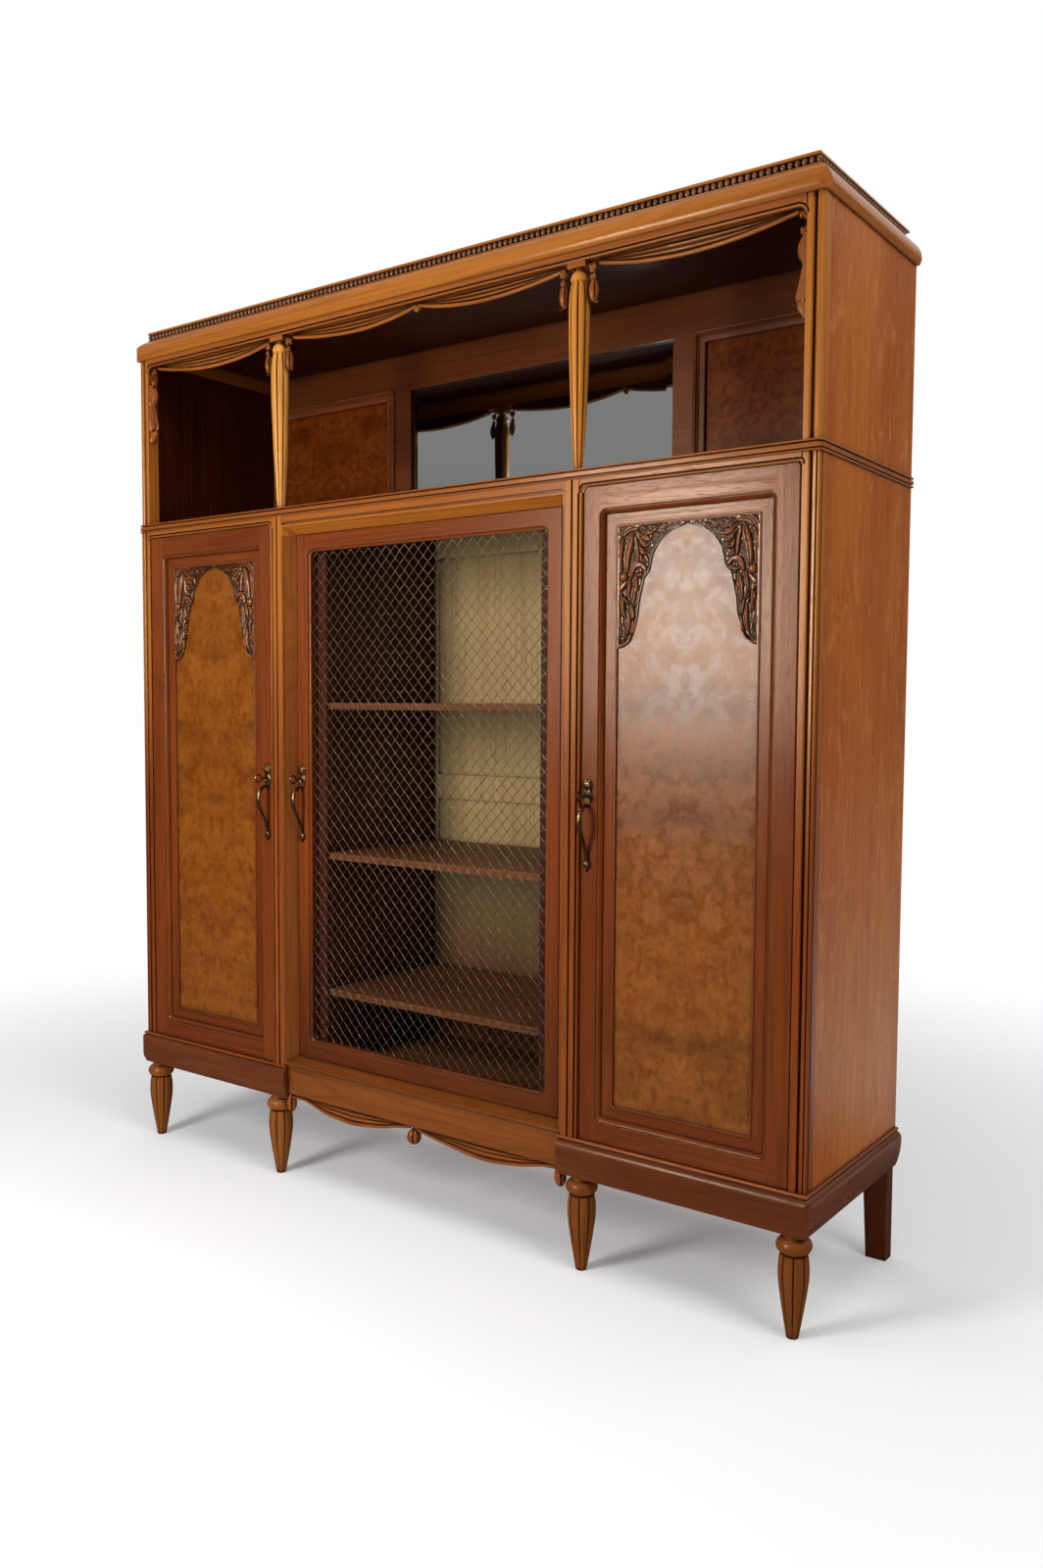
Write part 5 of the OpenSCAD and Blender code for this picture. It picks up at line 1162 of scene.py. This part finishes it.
def curl(x, y, z, way, size):
    """The turned-up tip under a bud."""
    rings = []
    for t in steps(9):
        a = pi * (0.1 + 0.9 * t)
        thick = size * 0.3 * sin(pi * (0.15 + 0.85 * t)) + 0.2
        cx, cz = x + way * size * (1 - cos(a)), z - size * 0.6 * sin(a)
        rings.append([(cx + thick * cos(b), y + thick * sin(b), cz + 0.3 * thick * cos(b)) for b in turns(8)])
    return tube(rings)


def knot(x, y, z, size, seed):
    """A tied knot: a few small rolls of cloth pressed together."""
    chance = random.Random(seed)
    shape = Shape()
    for k in range(5):
        a = 2 * pi * k / 5 + chance.uniform(-0.3, 0.3)
        shape.join(ball(x + size * 0.5 * cos(a), y - size * chance.uniform(0.1, 0.5),
                        z + size * 0.5 * sin(a), size * chance.uniform(0.3, 0.42),
                        size * chance.uniform(0.36, 0.55), 12, 9))
    return shape.join(ball(x, y - size * 0.35, z, size * 0.42, size * 0.42, 12, 9))


# Silhouette of the cloth on an outer post: height and how far it reaches from the post
FALL_BUD = [(1898, 8), (1893, 12), (1884, 19), (1872, 21), (1860, 18), (1851, 12), (1848, 8)]
FALL_CLOTH = [(1850, 9), (1842, 12), (1826, 16.5), (1808, 20.5), (1796, 23), (1786, 22.5)]
FALL_END = [(1794, 15), (1786, 19.5), (1777, 21), (1768, 15), (1757, 5)]


def draped(profile, mid_y, depth, pleats, deep, zigzag, count=18):
    """Cloth against an outer post, half round in plan, with pleats and a zigzag hem."""
    rings = []
    for t in steps(count):
        z, reach = curve(profile, t)
        ring_points = []
        for s in steps(6 * pleats + 1):
            a = pi * s
            fold = 1 - deep * t * (0.5 - 0.5 * cos(2 * pi * pleats * s))
            hem = zigzag * t ** 3 * (abs((s * pleats) % 1 - 0.5) * 2 - 0.5)
            ring_points.append((POST_X - reach * sin(a) * fold, mid_y - depth * cos(a) * fold, z + hem))
        rings.append(ring_points)
    return tube(rings)


def make_niche_drapery():
    """Swags under the head rail, buds beside the columns and falls of cloth on the outer posts."""
    top = RAIL_UNDER_Z + 1
    swags = swag([(4, 1934), (46, 1925), (95, 1918), (150, 1913.5), (215, 1914), (280, 1919), (330, 1925),
                  (368, 1931)], top, 27)
    swags.join(swag([(448, 1931), (486, 1924), (530, 1917), (590, 1912), (650, 1911), (720, 1915),
                     (790, 1924), (848, 1935)], top, 27))
    swags.join(swags.mirrored())
    swags.join(knot(0, 20, 1934, 11, 3))
    hung = Shape()
    for way in (-1, 1):
        x = COLUMN_X + way * 33.5
        hung.join(knot(x, COLUMN_Y - 3, 1925, 10.5, 5 + way), knot(x, COLUMN_Y - 4, 1908, 8, 8 + way),
                  bud(x, COLUMN_Y - 3, 1903, 1864, 9.4, 4), curl(x, COLUMN_Y - 3, 1864, way, 5))
    mid_y = 13
    hung.join(knot(POST_X - 9, mid_y + 4, 1931, 11, 11), knot(POST_X - 8, mid_y, 1903, 9, 12),
              knot(POST_X - 6, mid_y, 1848, 7, 14), draped(FALL_BUD, mid_y, 11, 4, 0.16, 0),
              draped(FALL_CLOTH, mid_y, 11, 4, 0.34, 11), draped(FALL_END, mid_y, 8, 3, 0.3, 4))
    hung.join(hung.mirrored())
    piece("niche_swags", swags, "swag", "carcass", ["niche_drapery"])
    piece("niche_falls", hung, "apron_swag", "carcass", ["niche_drapery"])


APRON_Z = limits("apron")[0].z
APRON_Y = 4.0


def make_apron_drapery():
    """Two swags under the apron, with a lobed fruit between them and small drops at the ends."""
    left = [(-374, 190), (-330, 190), (-270, 174), (-222, 168), (-177, 166), (-103, 175), (-50, 187),
            (-10, 194)]
    right = [(10, 193), (50, 185), (94, 178), (160, 169), (211, 168), (286, 177), (335, 188), (374, 192)]
    shape = Shape()
    for lower in (left, right):
        shape.join(swag(lower, APRON_Z + 1, APRON_Y + 12, 10, 3.4))
    shape.join(knot(0, APRON_Y + 8, 199, 8, 21), bud(0, APRON_Y + 6, 194, 162, 15.5, 7))
    for x in (-381, 381):
        shape.join(knot(x, APRON_Y + 8, 200, 7, 22), bud(x, APRON_Y + 8, 200, 158, 12.5, 4))
    piece("apron_swags", shape, "apron_swag", "carcass", ["apron_drapery"])


# Niche back

MIRROR_LOW, MIRROR_HIGH = limits("niche_mirror")


def make_mirror():
    """Mirror glass with a ground edge all round."""
    x1, back, z1 = MIRROR_HIGH
    _, front, z0 = MIRROR_LOW
    inset, fall = 25.0, 2.2
    shape = tube([[(-x1 + e, y, z0 + e), (x1 - e, y, z0 + e), (x1 - e, y, z1 - e), (-x1 + e, y, z1 - e)]
                  for e, y in ((0, back), (0, front + fall), (inset, front))])
    piece("mirror_ground", shape, "mirror", "carcass", ["niche_mirror"], 0.5)


NICHE_PANEL_INNER_X = 434.5
NICHE_PANEL_X = (limits("niche_panels")[1].x + NICHE_PANEL_INNER_X) / 2
RING_INNER_X = 428.0
RING_TOP = 1913.0
RING_R = 15.0


def make_niche_mouldings():
    """Beaded mouldings with rounded corners round the niche's two burl panels."""
    section = [(0, -0.2), (0, 2.4), (-0.8, 3.2)] + arc(-6.2, 2.6, 4.2, 0, 180, 11)
    section += [(-11.0, 3.4), (-14.6, 1.6), (-15.2, 0.4), (-16.6, 0.4), (-17.0, 1.5), (-26.6, 0.9),
                (-28.4, -0.8), (-28.4, -5.8), (0, -5.8)]
    face = limits("niche_frame")[0].y
    low = limits("niche_panels")[0].z - 8
    wide = 2 * (NICHE_PANEL_X - RING_INNER_X)
    shape = ring(NICHE_PANEL_X, face, (RING_TOP + low) / 2, wide, RING_TOP - low, RING_R, section)
    pair("niche_moulding_%s", shape, "niche_level", "carcass")


# Pulls and keys

KEYHOLE_Z = centre("door_right_key").z

# Half width of the cast plate at heights counted from the keyhole
PLATE = [(32, 1), (31, 6), (27, 10.4), (20, 12.3), (13, 11), (8, 9.4), (3, 10.8), (-3, 11.6), (-10, 9.5),
         (-17, 6), (-22, 3.4), (-24, 1)]
FOOT = [(-123, 1), (-125, 4), (-129, 7.6), (-134, 8.6), (-138, 6.4), (-142, 3.4), (-146, 0.8)]
# Path of the handle: forward from the door, height from the keyhole, half width, half thickness
HANDLE = [(1.5, -19, 5.0, 3.0), (12, -20, 4.8, 3.2), (24, -27, 5.6, 3.6), (30, -40, 6.6, 3.2),
          (30.5, -54, 6.4, 2.8), (26, -68, 5.6, 2.7), (18.5, -82, 4.8, 2.5), (10, -98, 4.0, 2.4),
          (5, -112, 3.8, 2.4), (2, -126, 3.8, 2.4)]


def cast_plate(outline, thick, ridges):
    """A flat casting with softened edges: half widths at heights, closed behind."""
    rows = []
    for t in steps(34):
        z, half = curve(outline, t)
        end = min(1.0, 6 * t + 0.3, 6 * (1 - t) + 0.3)
        row = []
        for v in steps(15):
            q = 2 * v - 1
            rise = thick * end * (1 - abs(q) ** 5) + ridges * abs(cos(q * pi * 1.5)) * end * (1 - abs(q))
            row.append((q * max(half, 0.3), -0.4 - rise, z))
        rows.append(row)
    shape = Shape()
    shape.relief(rows, -0.05)
    return shape


def boss(z, profile, **lobed):
    """A lathed shape at a height over the keyhole, its axis pointing forward."""
    return lathe(0, z, profile, **lobed).placed(lambda px, py, pz: (px, -pz, py))


def bowed_handle():
    """An oval section with a ridge in front, carried along the handle's path."""
    rings = []
    for t in steps(46):
        out, z, wide, thick = curve(HANDLE, t)
        ahead = curve(HANDLE, min(1.0, t + 0.01))
        behind = curve(HANDLE, max(0.0, t - 0.01))
        dy, dz = ahead[0] - behind[0], ahead[1] - behind[1]
        size = hypot(dy, dz)
        ring_points = []
        for a in turns(16):
            push = thick * cos(a) * (1 + 0.22 * max(0.0, cos(a)) ** 6)
            ring_points.append((wide * sin(a), -(out - dz / size * push), z + dy / size * push))
        rings.append(ring_points)
    return tube(rings)


def make_pulls():
    """Cast pulls, each a plate with a shell and a rim round the keyhole, a bowed handle and a leaf at its
    foot, and their keys, each a turned stem with a ring."""
    rim = loop([[((5.6 * (1.0 if sin(a) > 0 else 0.75) + 1.2 * cos(b)) * cos(a), -3.0 - 1.2 * sin(b),
                  (8.2 + 1.2 * cos(b)) * sin(a) - 1) for b in turns(8)] for a in turns(28)])
    cast = cast_plate(PLATE, 2.4, 0.8)
    cast.join(boss(20, [(1.5, 11.0), (3.4, 10.6), (5.0, 8.8), (6.0, 5.4), (6.2, 1.0)], lobes=8, groove=3.2,
                   share=0.34),
              boss(20, [(4, 3.2), (6.6, 3.0), (7.6, 1.6), (7.8, 0.4)], sides=16),
              rim, bowed_handle(), ball(0, -25, -25, 4.4, 3.8, 16, 9), cast_plate(FOOT, 3.0, 1.6),
              boss(-132, [(1.5, 9.4), (3.6, 8.8), (5.2, 6.6), (6.0, 3.4), (6.2, 0.6)], lobes=6, groove=3.0,
                   share=0.36))
    key = boss(0, [(-16, 2.4), (1, 2.4), (2, 3.6), (5, 3.6), (6, 2.5), (15, 2.3), (16, 3.8), (18, 3.8),
                   (19, 2.6), (22, 2.4)], sides=20)
    key.join(loop([[(1.7 * sin(b), -29.5 + (8.0 + 1.9 * cos(b)) * cos(a), (9.0 + 1.9 * cos(b)) * sin(a))
                    for b in turns(8)] for a in turns(32)]))
    for side in SIDES:
        x, y = centre("door_%s_key" % side).x, limits("door_%s_frame" % side)[0].y
        piece("door_%s_cast_pull" % side, cast.moved(x, y, KEYHOLE_Z), "bronze", "door_%s" % side,
              ["door_%s_pull" % side])
        piece("door_%s_turned_key" % side, key.moved(x, y, KEYHOLE_Z), "bronze", "key_%s" % side,
              ["door_%s_key" % side])


# Floor, background and light

def make_floor():
    """White floor that fades into the background. Reflections see it dark under and before the object
    and pale behind it."""
    mesh = bpy.data.meshes.new("floor")
    reach = 14.0
    mesh.from_pydata([(-reach, -reach, 0), (reach, -reach, 0), (reach, reach, 0), (-reach, reach, 0)], [],
                     [(0, 1, 2, 3)])
    floor = bpy.data.objects.new("floor", mesh)
    scene.collection.objects.link(floor)
    material = new_material("floor")
    point = here()
    rays = add("LightPath").outputs
    tint = blend(noise(point, 1.2, 2), grey(0.93), grey(0.9))
    mirrored = blend(spread(xyz(point)[1], 0.6, 1.4), (0.1, 0.09, 0.08, 1), grey(0.8))
    tint = blend(rays["Is Glossy Ray"], tint, mirrored)
    surface = add("BsdfPrincipled", {"Base Color": tint, "Roughness": 0.75, "Specular IOR Level": 0.2})
    white = add("Emission", {0: WHITE, 1: 1.0})
    away = vector("LENGTH", point, output="Value")
    fade = times(spread(away, 1.0, 3.0, 0.14, 1.0), rays["Is Camera Ray"])
    show(add("MixShader", {0: fade, 1: surface.outputs[0], 2: white.outputs[0]}))
    mesh.materials.append(material)


FILL = 0.27


def make_world():
    """White to the camera, with an even fill. Reflections find a grey room in front of the object, as in
    the photo's mirror, a pale one behind it above, and little light low down."""
    world = start_tree(bpy.data.worlds.new("studio"))
    scene.world = world
    rays = add("LightPath").outputs
    _, forward, up = xyz(here("Generated"))
    ahead = spread(up, 0.06, 0.2, 0.03, 0.26)
    behind = spread(up, 0.3, 0.45, 0.12, 0.9)
    reflected = between(spread(forward, -0.1, 0.5), ahead, behind)
    glossy = between(rays["Is Glossy Ray"], FILL, reflected)
    seen = calc("MAXIMUM", rays["Is Camera Ray"], rays["Is Transmission Ray"])
    show(add("Background", {0: WHITE, 1: between(seen, glossy, 1.0)}), "OutputWorld")


def softbox(name, place_at, aim_at, width, height, power, mirrored=True):
    data = bpy.data.lights.new(name, "AREA")
    data.shape = "RECTANGLE"
    data.size = width
    data.size_y = height
    data.energy = power
    light = bpy.data.objects.new(name, data)
    light.location = place_at
    light.visible_glossy = mirrored
    light.rotation_euler = (Vector(aim_at) - Vector(place_at)).to_track_quat("-Z", "Y").to_euler()
    scene.collection.objects.link(light)


def make_light():
    make_world()
    softbox("key", (-0.53, -2.35, 1.57), (0.1, 0.0, 1.1), 0.65, 1.06, 50)
    softbox("right", (3.4, -0.9, 2.9), (0.9, 0.0, 1.2), 1.6, 1.6, 50, mirrored=False)
    softbox("top", (0.2, -0.3, 4.8), (0.2, -0.3, 0.0), 4.0, 4.0, 112, mirrored=False)


finish = make_materials()
make_camera()
make_floor()
make_light()
dress_nodes()
for make in (make_posts, make_mullions, make_waist, make_crest, make_lips, make_niche_mouldings, make_columns,
             make_legs, make_side_doors, make_wire_net, make_niche_drapery, make_apron_drapery, make_mirror,
             make_pulls):
    make()
